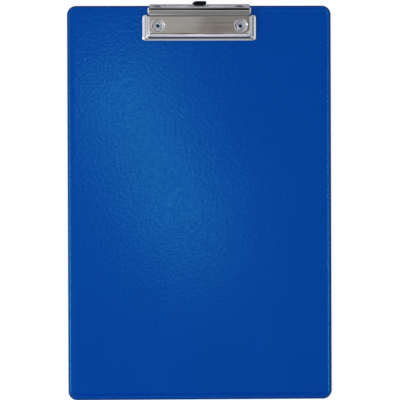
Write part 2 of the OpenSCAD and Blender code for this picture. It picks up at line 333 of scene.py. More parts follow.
def new_group(name, inputs, outputs):
    """A shader node group with named sockets, and its inner input and output nodes."""
    group = bpy.data.node_groups.new(name, "ShaderNodeTree")
    for label, (kind, value) in inputs.items():
        socket = group.interface.new_socket(label, in_out="INPUT", socket_type=kind)
        if value is not None:
            socket.default_value = value
    for label in outputs:
        group.interface.new_socket(label, in_out="OUTPUT", socket_type="NodeSocketFloat")
    return group, group.nodes.new("NodeGroupInput"), group.nodes.new("NodeGroupOutput")


def math_node(tree, operation, first, second=0.0):
    """The result of one operation on two values or sockets."""
    made = add_node(tree, "ShaderNodeMath", {0: first, 1: second}, operation=operation)
    return made.outputs[0]


def remap(tree, value, low, high, new_low, new_high):
    """value taken from one range to another."""
    inputs = {"Value": value, "From Min": low, "From Max": high, "To Min": new_low, "To Max": new_high}
    return add_node(tree, "ShaderNodeMapRange", inputs).outputs["Result"]


def use_group(tree, group, inputs):
    """A group placed in a material's tree."""
    return add_node(tree, "ShaderNodeGroup", inputs, node_tree=group)


def mix_colour(tree, mask, below, colour):
    """A colour laid by a mask over another one, which is a value or a socket."""
    laid = tree.nodes.new("ShaderNodeMix")
    laid.data_type = "RGBA"
    if isinstance(below, bpy.types.NodeSocket):
        tree.links.new(below, laid.inputs["A"])
    else:
        laid.inputs["A"].default_value = (*below, 1.0)
    laid.inputs["B"].default_value = (*colour, 1.0)
    tree.links.new(mask, laid.inputs["Factor"])
    return laid.outputs["Result"]


VECTOR = "NodeSocketVector"
FLOAT = "NodeSocketFloat"
NOISE_RANGE = (0.3, 0.7)
print("shader helpers ready; a noise keeps within", NOISE_RANGE)

# %% [markdown]
# ### Film grain
#
# Embossed PVC has small flat pebbles with soft furrows between them. A Voronoi texture's
# distance to the nearest border gives exactly that, and a noise bends its cells so that none
# looks ruled. A second, finer noise is the film's own tooth. Here and there the pebbles are
# pressed flatter, in patches of a few cells, and under all of it the film swells a little.
# Both break up the light that a lamp lays over it. The texture sees metres, so a cell of one
# millimetre needs a scale of about a thousand.

# %% The film grain group
BENDS_PER_METRE = 700.0
BEND_REACH = 0.0012
FURROW_EDGE = 0.35
TOOTH_PER_METRE = 4200.0
PATCHES_PER_METRE = 480.0
PATCH_CUT = (0.38, 0.62)
PATCH_RELIEF = (0.15, 1.15)
SWELLS_PER_METRE = 330.0

grain_group, g_in, g_out = new_group(
    "film grain",
    {"Vector": (VECTOR, None), "Cells per metre": (FLOAT, 900.0), "Tooth": (FLOAT, 0.35),
     "Swell": (FLOAT, 6.0)},
    ("Height", "Furrow", "Pebble"),
)
bend = add_node(grain_group, "ShaderNodeTexNoise",
                {"Vector": g_in.outputs["Vector"], "Scale": BENDS_PER_METRE, "Detail": 2.0})
bent = add_node(grain_group, "ShaderNodeVectorMath",
                {0: bend.outputs["Color"], 1: (0.5, 0.5, 0.5)}, operation="SUBTRACT")
pushed = add_node(grain_group, "ShaderNodeVectorMath",
                  {0: bent.outputs[0], "Scale": BEND_REACH}, operation="SCALE")
moved = add_node(grain_group, "ShaderNodeVectorMath",
                 {0: g_in.outputs["Vector"], 1: pushed.outputs[0]}, operation="ADD")
cells = add_node(grain_group, "ShaderNodeTexVoronoi",
                 {"Vector": moved.outputs[0], "Scale": g_in.outputs["Cells per metre"]},
                 feature="DISTANCE_TO_EDGE")
pebble = remap(grain_group, cells.outputs["Distance"], 0.0, FURROW_EDGE, 0.0, 1.0)
each = add_node(grain_group, "ShaderNodeTexVoronoi",
                {"Vector": moved.outputs[0], "Scale": g_in.outputs["Cells per metre"]}, feature="F1")
each_value = add_node(grain_group, "ShaderNodeSeparateColor", {"Color": each.outputs["Color"]})
tooth = add_node(grain_group, "ShaderNodeTexNoise",
                 {"Vector": g_in.outputs["Vector"], "Scale": TOOTH_PER_METRE, "Detail": 3.0})
tooth_part = math_node(grain_group, "MULTIPLY", tooth.outputs["Fac"], g_in.outputs["Tooth"])
swell = add_node(grain_group, "ShaderNodeTexNoise",
                 {"Vector": g_in.outputs["Vector"], "Scale": SWELLS_PER_METRE, "Detail": 1.0})
swell_part = math_node(grain_group, "MULTIPLY", swell.outputs["Fac"], g_in.outputs["Swell"])
patch = add_node(grain_group, "ShaderNodeTexNoise",
                 {"Vector": g_in.outputs["Vector"], "Scale": PATCHES_PER_METRE, "Detail": 1.0})
relief = remap(grain_group, patch.outputs["Fac"], *PATCH_CUT, *PATCH_RELIEF)
fine_part = math_node(grain_group, "ADD", pebble, tooth_part)
patchy_part = math_node(grain_group, "MULTIPLY", fine_part, relief)
height = math_node(grain_group, "ADD", patchy_part, swell_part)
furrow = math_node(grain_group, "SUBTRACT", 1.0, pebble)
grain_group.links.new(height, g_out.inputs["Height"])
grain_group.links.new(furrow, g_out.inputs["Furrow"])
grain_group.links.new(each_value.outputs[0], g_out.inputs["Pebble"])
print("film grain group ready")

# %% [markdown]
# ### Rolled metal
#
# Strip steel carries faint lines along the direction in which it was rolled, and plating
# follows them. A noise stretched a hundred times along X makes such lines. Their height goes to
# the bump, and a broader copy changes the roughness from band to band.

# %% The rolled metal group
BAND_SHARE = 0.08

rolled_group, r_in, r_out = new_group(
    "rolled metal",
    {"Vector": (VECTOR, None), "Lines per metre": (FLOAT, 5000.0), "Stretch": (FLOAT, 0.012)},
    ("Height", "Band"),
)
stretch = add_node(rolled_group, "ShaderNodeCombineXYZ",
                   {"X": r_in.outputs["Stretch"], "Y": 1.0, "Z": 1.0})
drawn = add_node(rolled_group, "ShaderNodeVectorMath",
                 {0: r_in.outputs["Vector"], 1: stretch.outputs[0]}, operation="MULTIPLY")
lines = add_node(rolled_group, "ShaderNodeTexNoise",
                 {"Vector": drawn.outputs[0], "Scale": r_in.outputs["Lines per metre"], "Detail": 2.0})
broad_scale = math_node(rolled_group, "MULTIPLY", r_in.outputs["Lines per metre"], BAND_SHARE)
bands = add_node(rolled_group, "ShaderNodeTexNoise",
                 {"Vector": drawn.outputs[0], "Scale": broad_scale, "Detail": 3.0})
rolled_group.links.new(lines.outputs["Fac"], r_out.inputs["Height"])
rolled_group.links.new(bands.outputs["Fac"], r_out.inputs["Band"])
print("rolled metal group ready")

# %% [markdown]
# ### Handling
#
# Fingers and sleeves leave a slightly uneven gloss. A soft low noise is the cloudiness, and a
# sharper one, cut high, gives the few small marks. Both come out as masks, and each
# material decides what they do.

# %% The handling group
MARK_CUT = (0.66, 0.74)

handling_group, h_in, h_out = new_group(
    "handling",
    {"Vector": (VECTOR, None), "Clouds per metre": (FLOAT, 14.0), "Marks per metre": (FLOAT, 260.0)},
    ("Cloud", "Mark"),
)
cloud = add_node(handling_group, "ShaderNodeTexNoise",
                 {"Vector": h_in.outputs["Vector"], "Scale": h_in.outputs["Clouds per metre"], "Detail": 4.0})
marks = add_node(handling_group, "ShaderNodeTexNoise",
                 {"Vector": h_in.outputs["Vector"], "Scale": h_in.outputs["Marks per metre"], "Detail": 5.0})
mark_cut = remap(handling_group, marks.outputs["Fac"], *MARK_CUT, 0.0, 1.0)
handling_group.links.new(cloud.outputs["Fac"], h_out.inputs["Cloud"])
handling_group.links.new(mark_cut, h_out.inputs["Mark"])
print("handling group ready")

# %% [markdown]
# ### Painted shade
#
# Shade that falls where two faces meet, in creases and in holes, is painted into the colour. The
# group below measures how far a point is from a centre, with each axis weighted. A centre with no
# weight on X is a line across the clip, one with a little weight on X fades out to the sides, and
# one with none on X and Y is a level. Within the core the painted shade is as dark as it gets, and
# it has gone at the reach.

# %% The painted shade group
PAINTED_SHADE_CORE = 0.0006

painted_shade_group, s_in, s_out = new_group(
    "painted_shade",
    {"Vector": (VECTOR, None), "Centre": (VECTOR, None), "Axes": (VECTOR, None), "Reach": (FLOAT, 0.0008)},
    ("Mask",),
)
from_centre = add_node(painted_shade_group, "ShaderNodeVectorMath",
                       {0: s_in.outputs["Vector"], 1: s_in.outputs["Centre"]}, operation="SUBTRACT")
on_axes = add_node(painted_shade_group, "ShaderNodeVectorMath",
                   {0: from_centre.outputs[0], 1: s_in.outputs["Axes"]}, operation="MULTIPLY")
away = add_node(painted_shade_group, "ShaderNodeVectorMath", {0: on_axes.outputs[0]}, operation="LENGTH")
nearness = add_node(painted_shade_group, "ShaderNodeMapRange",
                    {"Value": away.outputs["Value"], "From Min": s_in.outputs["Reach"],
                     "From Max": PAINTED_SHADE_CORE},
                    interpolation_type="SMOOTHSTEP")
painted_shade_group.links.new(nearness.outputs["Result"], s_out.inputs["Mask"])
print("grime group ready")

# %% [markdown]
# ### Materials
#
# Every material starts the same way: a Principled shader, object coordinates, and a bump. The
# numbers that don't change over a surface are set on the shader's own sockets. The colours,
# roughnesses and heights that do change are wired to it.

# %% A material to start from


def new_material(name, constants):
    """A node material with its constant values set, its tree, its shader and object coordinates."""
    material = bpy.data.materials.new(name)
    material.use_nodes = True
    tree = material.node_tree
    shader = tree.nodes["Principled BSDF"]
    for label, value in constants.items():
        shader.inputs[label].default_value = value
    place = tree.nodes.new("ShaderNodeTexCoord").outputs["Object"]
    return material, tree, shader, place


def wire_bump(tree, shader, height, strength, distance):
    """Lets a height, in metres at full strength, turn the shader's normal."""
    bump = add_node(tree, "ShaderNodeBump", {"Height": height, "Strength": strength, "Distance": distance})
    tree.links.new(bump.outputs["Normal"], shader.inputs["Normal"])


def wire_colour(tree, shader, mask, first, second):
    """Mixes two colours by a mask into the shader's base colour."""
    tree.links.new(mix_colour(tree, mask, first, second), shader.inputs["Base Color"])


def paint_shade(tree, shader, place, centre, axes, reach, depth, shade):
    """Paints shade into the wired base colour near a centre, and gives back the mask."""
    near = use_group(tree, painted_shade_group, {"Vector": place, "Centre": centre, "Axes": axes, "Reach": reach})
    mask = math_node(tree, "MULTIPLY", near.outputs["Mask"], depth)
    unshaded = shader.inputs["Base Color"].links[0].from_socket
    wire_colour(tree, shader, mask, unshaded, shade)
    return mask


# %% [markdown]
# ### Blue film
#
# The film is dyed through, a deep ultramarine that sits at the edge of what a screen can show.
# Its gloss is cool rather than white, which the specular tint gives. Furrows are a shade
# darker and duller than the pebbles, and each pebble has its own gloss. Painted shade darkens the
# weld's flange, where the films were pressed together beside the bead, and the film in the rivets' bores.

# %% The blue film
BLUE = (0.0003, 0.0425, 0.318)
BLUE_DEEP = (0.0001, 0.0355, 0.285)
# The next two colours are painted shade: the weld's flange beside the bead, and the film down in each rivet's
# bore.
BLUE_SHADED_AT_WELD = (0.002, 0.022, 0.130)
BLUE_SHADED_IN_BORE = (0.001, 0.003, 0.015)
FILM_TINT = (0.08, 0.80, 1.0, 1.0)
FILM_CELLS = 820.0
FURROW_SHADE = 0.55
CLOUD_CUT = (0.35, 0.65)
CLOUD_SHADE = (0.0, 0.35)
PEBBLE_ROUGH = (0.12, 0.19)
FURROW_ROUGH = 0.04
CLOUD_ROUGH = 0.06
GRAIN_STRENGTH = 0.6
GRAIN_DEPTH = 0.00004
UPRIGHT = (0.0, 0.0, 1.0)
IN_PLANE = (1.0, 1.0, 0.0)

film_material, film_tree, film_shader, film_place = new_material(
    "blue_film", {"Specular IOR Level": 0.5, "Specular Tint": FILM_TINT})
film_grain = use_group(film_tree, grain_group, {"Vector": film_place, "Cells per metre": FILM_CELLS})
film_handling = use_group(film_tree, handling_group, {"Vector": film_place})
furrow_shade = math_node(film_tree, "MULTIPLY", film_grain.outputs["Furrow"], FURROW_SHADE)
cloud_shade = remap(film_tree, film_handling.outputs["Cloud"], *CLOUD_CUT, *CLOUD_SHADE)
film_shade = math_node(film_tree, "ADD", furrow_shade, cloud_shade)
wire_colour(film_tree, film_shader, film_shade, BLUE, BLUE_DEEP)
pebble_rough = remap(film_tree, film_grain.outputs["Pebble"], 0.0, 1.0, *PEBBLE_ROUGH)
furrow_rough = math_node(film_tree, "MULTIPLY", film_grain.outputs["Furrow"], FURROW_ROUGH)
cloud_rough = math_node(film_tree, "MULTIPLY", film_handling.outputs["Cloud"], CLOUD_ROUGH)
grain_rough = math_node(film_tree, "ADD", pebble_rough, furrow_rough)
film_rough = math_node(film_tree, "ADD", grain_rough, cloud_rough)
film_tree.links.new(film_rough, film_shader.inputs["Roughness"])
wire_bump(film_tree, film_shader, film_grain.outputs["Height"], GRAIN_STRENGTH, GRAIN_DEPTH)
# Painted shade: the weld's flange darkened beside the bead, and the film darkened in each rivet's bore.
weld_place = (0.0, 0.0, WELD_Z * MM)
paint_shade(film_tree, film_shader, film_place, weld_place, UPRIGHT, 0.0009, 0.75, BLUE_SHADED_AT_WELD)
for side in (-1, 1):
    bore_place = (side * RIVET_X * MM, RIVET_Y * MM, 0.0)
    paint_shade(film_tree, film_shader, film_place, bore_place, IN_PLANE, 0.0019, 0.85, BLUE_SHADED_IN_BORE)
print("blue film ready")

# %% [markdown]
# ### Plated steel
#
# The jaw and the pin are nickel plated: a warm grey mirror with a satin break from the rolled
# lines. The base under the jaw has a duller, brighter zinc, and the rivets have a bluish
# bright plating. One function makes all of them from their own colours and roughnesses. Shade in
# creases and holes is painted in, each place a centre, the weights of its axes, its reach and its depth.

# %% Plated metals
PAINTED_SHADE = (0.03, 0.028, 0.026)
PAINTED_SHADE_ROUGH = 0.3
MARK_ROUGH = 0.04
HANDLED_ROUGH = (-0.02, 0.03)
HANDLED_CLOUDS = 60.0
LINE_STRENGTH = 0.4


def plated(name, light, dark, smooth, rough, line_height, lines=5000.0, painted_shade=(), metallic=1.0):
    """A plated sheet: two tones, a range of roughness, rolled lines of some height, and places of painted
    shade.
    """
    material, tree, shader, place = new_material(name, {"Metallic": metallic})
    rolled = use_group(tree, rolled_group, {"Vector": place, "Lines per metre": lines})
    handled = use_group(tree, handling_group, {"Vector": place, "Clouds per metre": HANDLED_CLOUDS})
    wire_colour(tree, shader, rolled.outputs["Band"], dark, light)
    band_rough = remap(tree, rolled.outputs["Band"], *NOISE_RANGE, smooth, rough)
    marked = math_node(tree, "MULTIPLY", handled.outputs["Mark"], MARK_ROUGH)
    cloudy = remap(tree, handled.outputs["Cloud"], *NOISE_RANGE, *HANDLED_ROUGH)
    total = math_node(tree, "ADD", math_node(tree, "ADD", band_rough, marked), cloudy)
    for centre, axes, reach, depth in painted_shade:
        mask = paint_shade(tree, shader, place, centre, axes, reach, depth, PAINTED_SHADE)
        total = math_node(tree, "ADD", total, math_node(tree, "MULTIPLY", mask, PAINTED_SHADE_ROUGH))
    tree.links.new(total, shader.inputs["Roughness"])
    wire_bump(tree, shader, rolled.outputs["Height"], LINE_STRENGTH, line_height)
    return material


def about_pin(x, a, b):
    """A place in metres, x across the clip and a, b from the pin's axis, from millimetres."""
    return x * MM, (PIN_Y + a) * MM, (PIN_Z + b) * MM


ACROSS = (0.0, 1.0, 1.0)
NICKEL = ((0.74, 0.73, 0.715), (0.70, 0.69, 0.675))
FOOT_LEVEL = 5.5
HOLE_SIDE = 5.8

# Painted shade on the jaw: the crease behind the barrel, darkest at the lever's right, the lever's notch, a
# band over the barrel's front, the dip before the barrel and the pan's foot.
crease_painted_shade = (about_pin(0.0, 1.3, 4.82), ACROSS, 0.0012, 0.95)
lever_painted_shade = (about_pin(24.0, 1.4, 5.15), (0.035, 1.0, 1.0), 0.0018, 0.97)
notch_painted_shade = (about_pin(0.0, 4.4, 8.5), (0.1, 1.0, 1.0), 0.0013, 0.97)
roll_painted_shade = (about_pin(28.0, -2.9, 3.9), (0.02, 1.0, 1.0), 0.0019, 0.5)
dip_painted_shade = (about_pin(0.0, -4.3, 2.8), ACROSS, 0.0014, 0.6)
foot_painted_shade = ((0.0, 0.0, FOOT_LEVEL * MM), UPRIGHT, 0.0011, 0.8)
# Painted shade on the spring's bail, which lies in shade behind the lever's notch.
bail_painted_shade = (about_pin(0.0, 5.4, 0.0), (0.1, 1.0, 0.0), 0.0032, 0.97)
# Painted shade in each hole: a dark ring round the rivet and a shadow crescent at the hole's left edge, where
# the rim shades the base.
hole_painted_shade = []
for side in (-1, 1):
    ring_place = (side * RIVET_X * MM, RIVET_Y * MM, 0.0)
    edge_place = ((side * RIVET_X - HOLE_SIDE) * MM, (RIVET_Y - 0.5) * MM, 0.0)
    hole_painted_shade.append((ring_place, IN_PLANE, 0.0041, 0.8))
    hole_painted_shade.append((edge_place, (1.0, 0.45, 0.0), 0.0019, 0.95))

# The jaw's nickel carries the painted shade of its creases and foot.
jaw_nickel = plated("nickel_plate", *NICKEL, 0.09, 0.14, 0.0000025,
                    painted_shade=(crease_painted_shade, lever_painted_shade, notch_painted_shade, roll_painted_shade, dip_painted_shade, foot_painted_shade))
nickel = plated("nickel_plate_pin", *NICKEL, 0.12, 0.18, 0.000003)
zinc = plated("zinc_plate", (0.93, 0.93, 0.92), (0.86, 0.86, 0.85), 0.42, 0.55, 0.00001, 3000.0,
              painted_shade=hole_painted_shade, metallic=0.35)
bright = plated("rivet_metal", (0.70, 0.70, 0.84), (0.62, 0.62, 0.76), 0.20, 0.28, 0.000004, 8000.0)
# The spring steel carries painted shade on its bail.
steel = plated("spring_steel", (0.50, 0.50, 0.51), (0.38, 0.38, 0.39), 0.26, 0.36, 0.000004, 9000.0,
               painted_shade=(bail_painted_shade,))
print("nickel, zinc, rivet metal and spring steel ready")

# %% [markdown]
# ### Black plastic and greyboard
#
# The hanger is moulded in a matte black with a fine spark-eroded texture. Greyboard is
# pressed waste paper: a dull brown grey full of short fibres, rough and without gloss.

# %% Black plastic and greyboard
BLACKS = ((0.0012, 0.0012, 0.0015), (0.004, 0.004, 0.0045))
GREYS = ((0.34, 0.30, 0.26), (0.50, 0.46, 0.40))
PLASTIC_ROUGH = (0.38, 0.5)
PAPER_ROUGH = (0.85, 0.95)

black_material, black_tree, black_shader, black_place = new_material(
    "black_plastic", {"Specular IOR Level": 0.1})
black_handling = use_group(black_tree, handling_group, {"Vector": black_place, "Clouds per metre": 120.0})
wire_colour(black_tree, black_shader, black_handling.outputs["Cloud"], *BLACKS)
black_rough = remap(black_tree, black_handling.outputs["Cloud"], *NOISE_RANGE, *PLASTIC_ROUGH)
black_tree.links.new(black_rough, black_shader.inputs["Roughness"])
eroded = add_node(black_tree, "ShaderNodeTexNoise", {"Vector": black_place, "Scale": 6000.0, "Detail": 2.0})
wire_bump(black_tree, black_shader, eroded.outputs["Fac"], 0.3, 0.00001)

board_material, board_tree, board_shader, board_place = new_material(
    "greyboard", {"Specular IOR Level": 0.2})
fibres = add_node(board_tree, "ShaderNodeTexNoise", {"Vector": board_place, "Scale": 1800.0, "Detail": 6.0})
board_handling = use_group(board_tree, handling_group, {"Vector": board_place, "Clouds per metre": 40.0})
wire_colour(board_tree, board_shader, fibres.outputs["Fac"], *GREYS)
board_rough = remap(board_tree, board_handling.outputs["Cloud"], *NOISE_RANGE, *PAPER_ROUGH)
board_tree.links.new(board_rough, board_shader.inputs["Roughness"])
wire_bump(board_tree, board_shader, fibres.outputs["Fac"], 0.5, 0.00006)
print("black plastic and greyboard ready")

# %% [markdown]
# ## The board's edge
#
# The two films are welded together just outside the core. The welding bar leaves a flat thin
# flange, and the film rolls down to it over the core's edge in a rounded bead with one narrow
# facet on its outer slope. A shallow furrow runs inside the bead where the bar's heel pressed,
# and from its bottom the film rises slowly to the flat face. One profile describes this.
# It is given as distance in from the outer edge, height over the weld's plane, and the
# direction in which the surface faces there, so that the film's inner side and the core are the
# same profile moved in by the film's thickness.

# %% Profile of the welded edge
HALF_T = FACE_Z - WELD_Z
BEAD_R = 0.95
BEAD_IN = 2.45
FILLET_R = 0.35
FURROW_R = 0.5
FURROW_SIDE = math.radians(36)
RISE_W = 3.0
FACET_W = 0.25
FACET_TILT = math.radians(23)
RIM_R = 0.22
FLANGE_MIDDLE = 0.7
RUN_OUT = 0.6


def bend_points(middle_in, middle_h, r, slopes):
    """Points of the profile round a middle, at some slopes. A hollow bend has a negative radius."""
    facing = [(-math.sin(slope), math.cos(slope)) for slope in slopes]
    return [(middle_in + r * a, middle_h + r * h, a, h) for a, h in facing]


def edge_profile():
    """(inset, height, facing inset, facing height) along the film, from the flange to the flat face."""
    bead_h = HALF_T - BEAD_R
    outer_in = BEAD_IN - FACET_W * math.cos(FACET_TILT)
    outer_h = bead_h - FACET_W * math.sin(FACET_TILT)
    steep = math.acos((FILM + FILLET_R - outer_h) / (BEAD_R + FILLET_R))
    fillet_in = outer_in - (BEAD_R + FILLET_R) * math.sin(steep)
    fillet_h = FILM + FILLET_R
    furrow_in = BEAD_IN + (BEAD_R + FURROW_R) * math.sin(FURROW_SIDE)
    furrow_h = bead_h + (BEAD_R + FURROW_R) * math.cos(FURROW_SIDE)
    line = [(inset, FILM, 0.0, 1.0) for inset in (RIM_R, FLANGE_MIDDLE, fillet_in)]
    line += bend_points(fillet_in, fillet_h, -FILLET_R, [steep * k / 7 for k in range(1, 7)])
    line += bend_points(outer_in, outer_h, BEAD_R, [mix(steep, FACET_TILT, k / 7) for k in range(8)])
    line += bend_points(BEAD_IN, bead_h, BEAD_R, [mix(FACET_TILT, -FURROW_SIDE, k / 7) for k in range(8)])
    line += bend_points(furrow_in, furrow_h, -FURROW_R, [-FURROW_SIDE * (1 - k / 3) for k in range(1, 4)])
    bottom = line[-1][1]
    for k in range(1, 8):
        s = k / 7
        height = bottom + (HALF_T - bottom) * s * s * (3 - 2 * s)
        slope = (HALF_T - bottom) / RISE_W * 6 * s * (1 - s)
        size = math.hypot(1, slope)
        line.append((furrow_in + RISE_W * s, height, -slope / size, 1 / size))
    line.append((furrow_in + RISE_W + RUN_OUT, HALF_T, 0.0, 1.0))
    return line


profile = edge_profile()
print(f"edge profile: {len(profile)} points over {profile[-1][0]:.2f} mm")

# %% [markdown]
# The profile is carried round the board as rings, one ring for each of its points. A hand-fed
# weld is never quite even, so the bead's height wanders by a few hundredths of a
# millimetre along the way. That small error makes the light along the edge look real.

# %% Rings round the board
STRAIGHT_PACE = 6.0
CORNER_STEPS = 16
WANDERING = ((0.5, 0.043, 0.7), (0.3, 0.117, 2.1), (0.2, 0.29, 0.0))


def wander(along):
    """A slow smooth error along the board's outline, between about -1 and 0."""
    waves = sum(high * math.sin(along * pace + start) for high, pace, start in WANDERING)
    return (waves - 1) / 2


def board_ring(inset, z, uneven=0.0):
    """A closed ring of points round the board, drawn in by inset."""
    x0 = HALF_W - CORNER_R
    y0 = HALF_H - CORNER_R
    r = CORNER_R - inset
    flat = [(HALF_W - inset, y) for y in between(-y0, y0, STRAIGHT_PACE)]
    flat += arc((x0, y0), r, 0, 90, CORNER_STEPS)[1:]
    flat += [(x, HALF_H - inset) for x in between(x0, -x0, STRAIGHT_PACE)][1:]
    flat += arc((-x0, y0), r, 90, 180, CORNER_STEPS)[1:]
    flat += [(-HALF_W + inset, y) for y in between(y0, -y0, STRAIGHT_PACE)][1:]
    flat += arc((-x0, -y0), r, 180, 270, CORNER_STEPS)[1:]
    flat += [(x, -HALF_H + inset) for x in between(-x0, x0, STRAIGHT_PACE)][1:]
    flat += arc((x0, -y0), r, 270, 360, CORNER_STEPS)[1:]
    ring = [(x, y, z + uneven * wander(x + 1.7 * y)) for x, y in flat[:-1]]
    return ring + ring[:1]


def rivet_loops(radius, z):
    """A closed loop round each rivet."""
    rounds = [arc((side * RIVET_X, RIVET_Y), radius, 0, 360, 40)[:-1] for side in (-1, 1)]
    return [[(x, y, z) for x, y in loop] for loop in rounds]


print(f"each ring has {len(board_ring(0, 0)) - 1} points")

# %% [markdown]
# The front film is one closed shell: up the rim, along the outer profile to the flat face, and
# back along the inner profile. It has a hole for each rivet. The back film is its mirror image
# about the weld, without holes, because it was welded on after the rivets were set.

# %% The two films
UNEVEN = 0.035
SHANK_HOLE_R = 2.05
RIM_STEPS = ((0.0, 0.12), (0.07, 0.03))


def unevenness(inset, height):
    """How much a point of the profile shares in the weld's wandering: only the bead's top does."""
    return UNEVEN if height > 0.6 * HALF_T and inset < BEAD_IN + BEAD_R else 0.0


def film_shell(name, up, holes):
    """One film, on the side of the weld that up says, with or without the rivets' holes."""
    skin = new_skin()
    shape = [(0.0, 0.0, 0.0)] + [(e, FILM - drop, 0.0) for e, drop in RIM_STEPS]
    shape += [(e, h, unevenness(e, h)) for e, h, _, _ in profile]
    rings = [board_ring(e, WELD_Z + up * h, up * wave) for e, h, wave in shape]
    inner = [(e - FILM * ne, h - FILM * nh) for e, h, ne, nh in reversed(profile)]
    rings += [board_ring(e, WELD_Z + up * max(h, 0.0)) for e, h in inner if e > RIM_R]
    outer_end = len(shape)
    add_rows(skin, rings[:outer_end])
    add_rows(skin, rings[outer_end:] + rings[:1])
    faces_z = (WELD_Z + up * HALF_T, WELD_Z + up * (HALF_T - FILM))
    for ring, z in zip((rings[outer_end - 1], rings[outer_end]), faces_z):
        add_fill(skin, [ring[:-1]] + (rivet_loops(SHANK_HOLE_R, z) if holes else []))
    if holes:
        for low, high in zip(*(rivet_loops(SHANK_HOLE_R, z) for z in faces_z)):
            add_rows(skin, [low + low[:1], high + high[:1]])
    return settle(make_object(name, skin))


front_film = film_shell("front_film", 1, True)
back_film = film_shell("back_film", -1, False)
finish_piece(front_film, "root", film_material, "blue_film", "front_cover")
finish_piece(back_film, "root", film_material, "blue_film", "back_cover")

# %% [markdown]
# The greyboard fills the space between the films. Its edge was crushed round by the welding
# bar, so it follows the films' inner side. It also has a recess at the back for each rivet's
# tail. None of it shows, but the piece is whole, so that the board can be shown taken apart.

# %% The greyboard core
AIR = 0.02
RECESS_R = 3.8
RECESS_TOP_Z = 1.1


def core_half(up):
    """Rings of the core's surface on one side, from its edge to its flat face."""
    inner = [(e - (FILM + AIR) * ne, h - (FILM + AIR) * nh) for e, h, ne, nh in profile]
    bead_h = HALF_T - BEAD_R
    return [board_ring(e, WELD_Z + up * h) for e, h in inner if e > BEAD_IN - BEAD_R and h > bead_h]


core_skin = new_skin()
top_rings = core_half(1)
bottom_rings = core_half(-1)
add_rows(core_skin, bottom_rings[::-1] + top_rings)
top_z = top_rings[-1][0][2]
bottom_z = bottom_rings[-1][0][2]
add_fill(core_skin, [top_rings[-1][:-1]] + rivet_loops(SHANK_HOLE_R, top_z))
add_fill(core_skin, [bottom_rings[-1][:-1]] + rivet_loops(RECESS_R, bottom_z))
for k in range(2):
    steps = [rivet_loops(RECESS_R, bottom_z)[k], rivet_loops(RECESS_R, RECESS_TOP_Z)[k]]
    steps += [rivet_loops(SHANK_HOLE_R, RECESS_TOP_Z)[k], rivet_loops(SHANK_HOLE_R, top_z)[k]]
    add_rows(core_skin, [loop + loop[:1] for loop in steps])
core = settle(make_object("board_core_sheet", core_skin))
finish_piece(core, "root", board_material, "greyboard", "board_core")

# %% [markdown]
# ## The jaw's pressed pan
#
# The jaw is one blank of steel, pressed into a shallow pan with a flange round three sides.
# The flange is bowed so that only its lip bites the paper. Above a small foot radius the wall
# stands steep, and it turns over into the flat top by way of a sloping crest, widest at the
# front. The front and the sides have their own profile, each given as the slope at stations
# on the way in from the lip. Adding the slopes up gives the heights.

# %% Profiles of the pan
PAN_Z = 10.0
LIP_X = jaw_high.x
LIP_Y = jaw_low.y
LIP_Z = FACE_Z + SHEET
PACE = 0.01
SIDE_SLOPES = ((0.0, 29), (1.2, 18), (1.9, 7), (2.9, 8), (3.3, 14), (3.7, 20), (4.1, 80),
               (4.85, 80), (5.15, 35), (5.55, 10), (7.0, 4), (7.4, 0))
FRONT_SLOPES = ((0.0, 37), (1.3, 33), (1.9, 12), (2.4, 77), (2.65, 77), (3.0, 50), (3.3, 42.5),
                (5.1, 39.5), (5.6, 12), (6.35, 7.5), (6.5, 0))


def slope_profile(stations):
    """(way in, height over the lip) along a profile whose slopes are given at stations, ending at the top."""
    line = [(0.0, 0.0)]
    for (start, slope), (end, next_slope) in zip(stations, stations[1:]):
        steps = round((end - start) / PACE)
        for k in range(steps):
            rise = math.tan(math.radians(mix(slope, next_slope, (k + 0.5) / steps)))
            line.append((line[-1][0] + PACE, line[-1][1] + PACE * rise))
    full = (PAN_Z - LIP_Z) / line[-1][1]
    print(f"profile rises {line[-1][1]:.2f} mm, scaled by {full:.3f}")
    return [(way, height * full) for way, height in line]


def way_at(line, height):
    """How far in a profile reaches a height."""
    for (way, low), (next_way, high) in zip(line, line[1:]):
        if high >= height:
            return mix(way, next_way, (height - low) / max(high - low, 1e-9))
    return line[-1][0]


side_profile = slope_profile(SIDE_SLOPES)
front_profile = slope_profile(FRONT_SLOPES)

# %% [markdown]
# A ring round the pan is one height on both profiles, with a corner radius that shrinks on the
# way up. The heights lie close together where the sheet is nearly flat and far apart on the
# wall. Each ring also has its own back end: the flange ends in a rounded corner, and the wall
# ends short of the barrel at a relief slit.

# %% Rings of the pan
LIP_R = 2.5
TOP_R = 2.4
FLANGE_BACK_Y = PIN_Y - 3.3
WALL_BACK_Y = PIN_Y - 4.7
FLANGE_WAY = 3.2
FOOT_WAY = 4.1
FLANGE_SHARES = (0.0, 0.12, 0.27, 0.45, 0.64, 0.82, 1.0)
FOOT_SHARES = (0.04, 0.1, 0.2, 0.35, 0.55, 0.8, 1.0)
CREST_DROPS = (3.9, 3.5, 3.1, 2.7, 2.35, 2.05, 1.75, 1.5, 1.25, 1.0, 0.78,
               0.58, 0.44, 0.34, 0.26, 0.2, 0.15, 0.1, 0.06, 0.03, 0.01, 0)

heights_first = [(height, way) for way, height in side_profile]
FLANGE_H = way_at(heights_first, FLANGE_WAY)
FOOT_H = way_at(heights_first, FOOT_WAY)


def back_end(x, height):
    """Where a ring with half width x ends at the back."""
    inside = min(LIP_X - x, LIP_R)
    flange_end = FLANGE_BACK_Y - LIP_R + math.sqrt(LIP_R ** 2 - (LIP_R - inside) ** 2)
    up = min(max((height - FLANGE_H) / (FOOT_H - FLANGE_H), 0), 1)
    return mix(flange_end, WALL_BACK_Y, up)


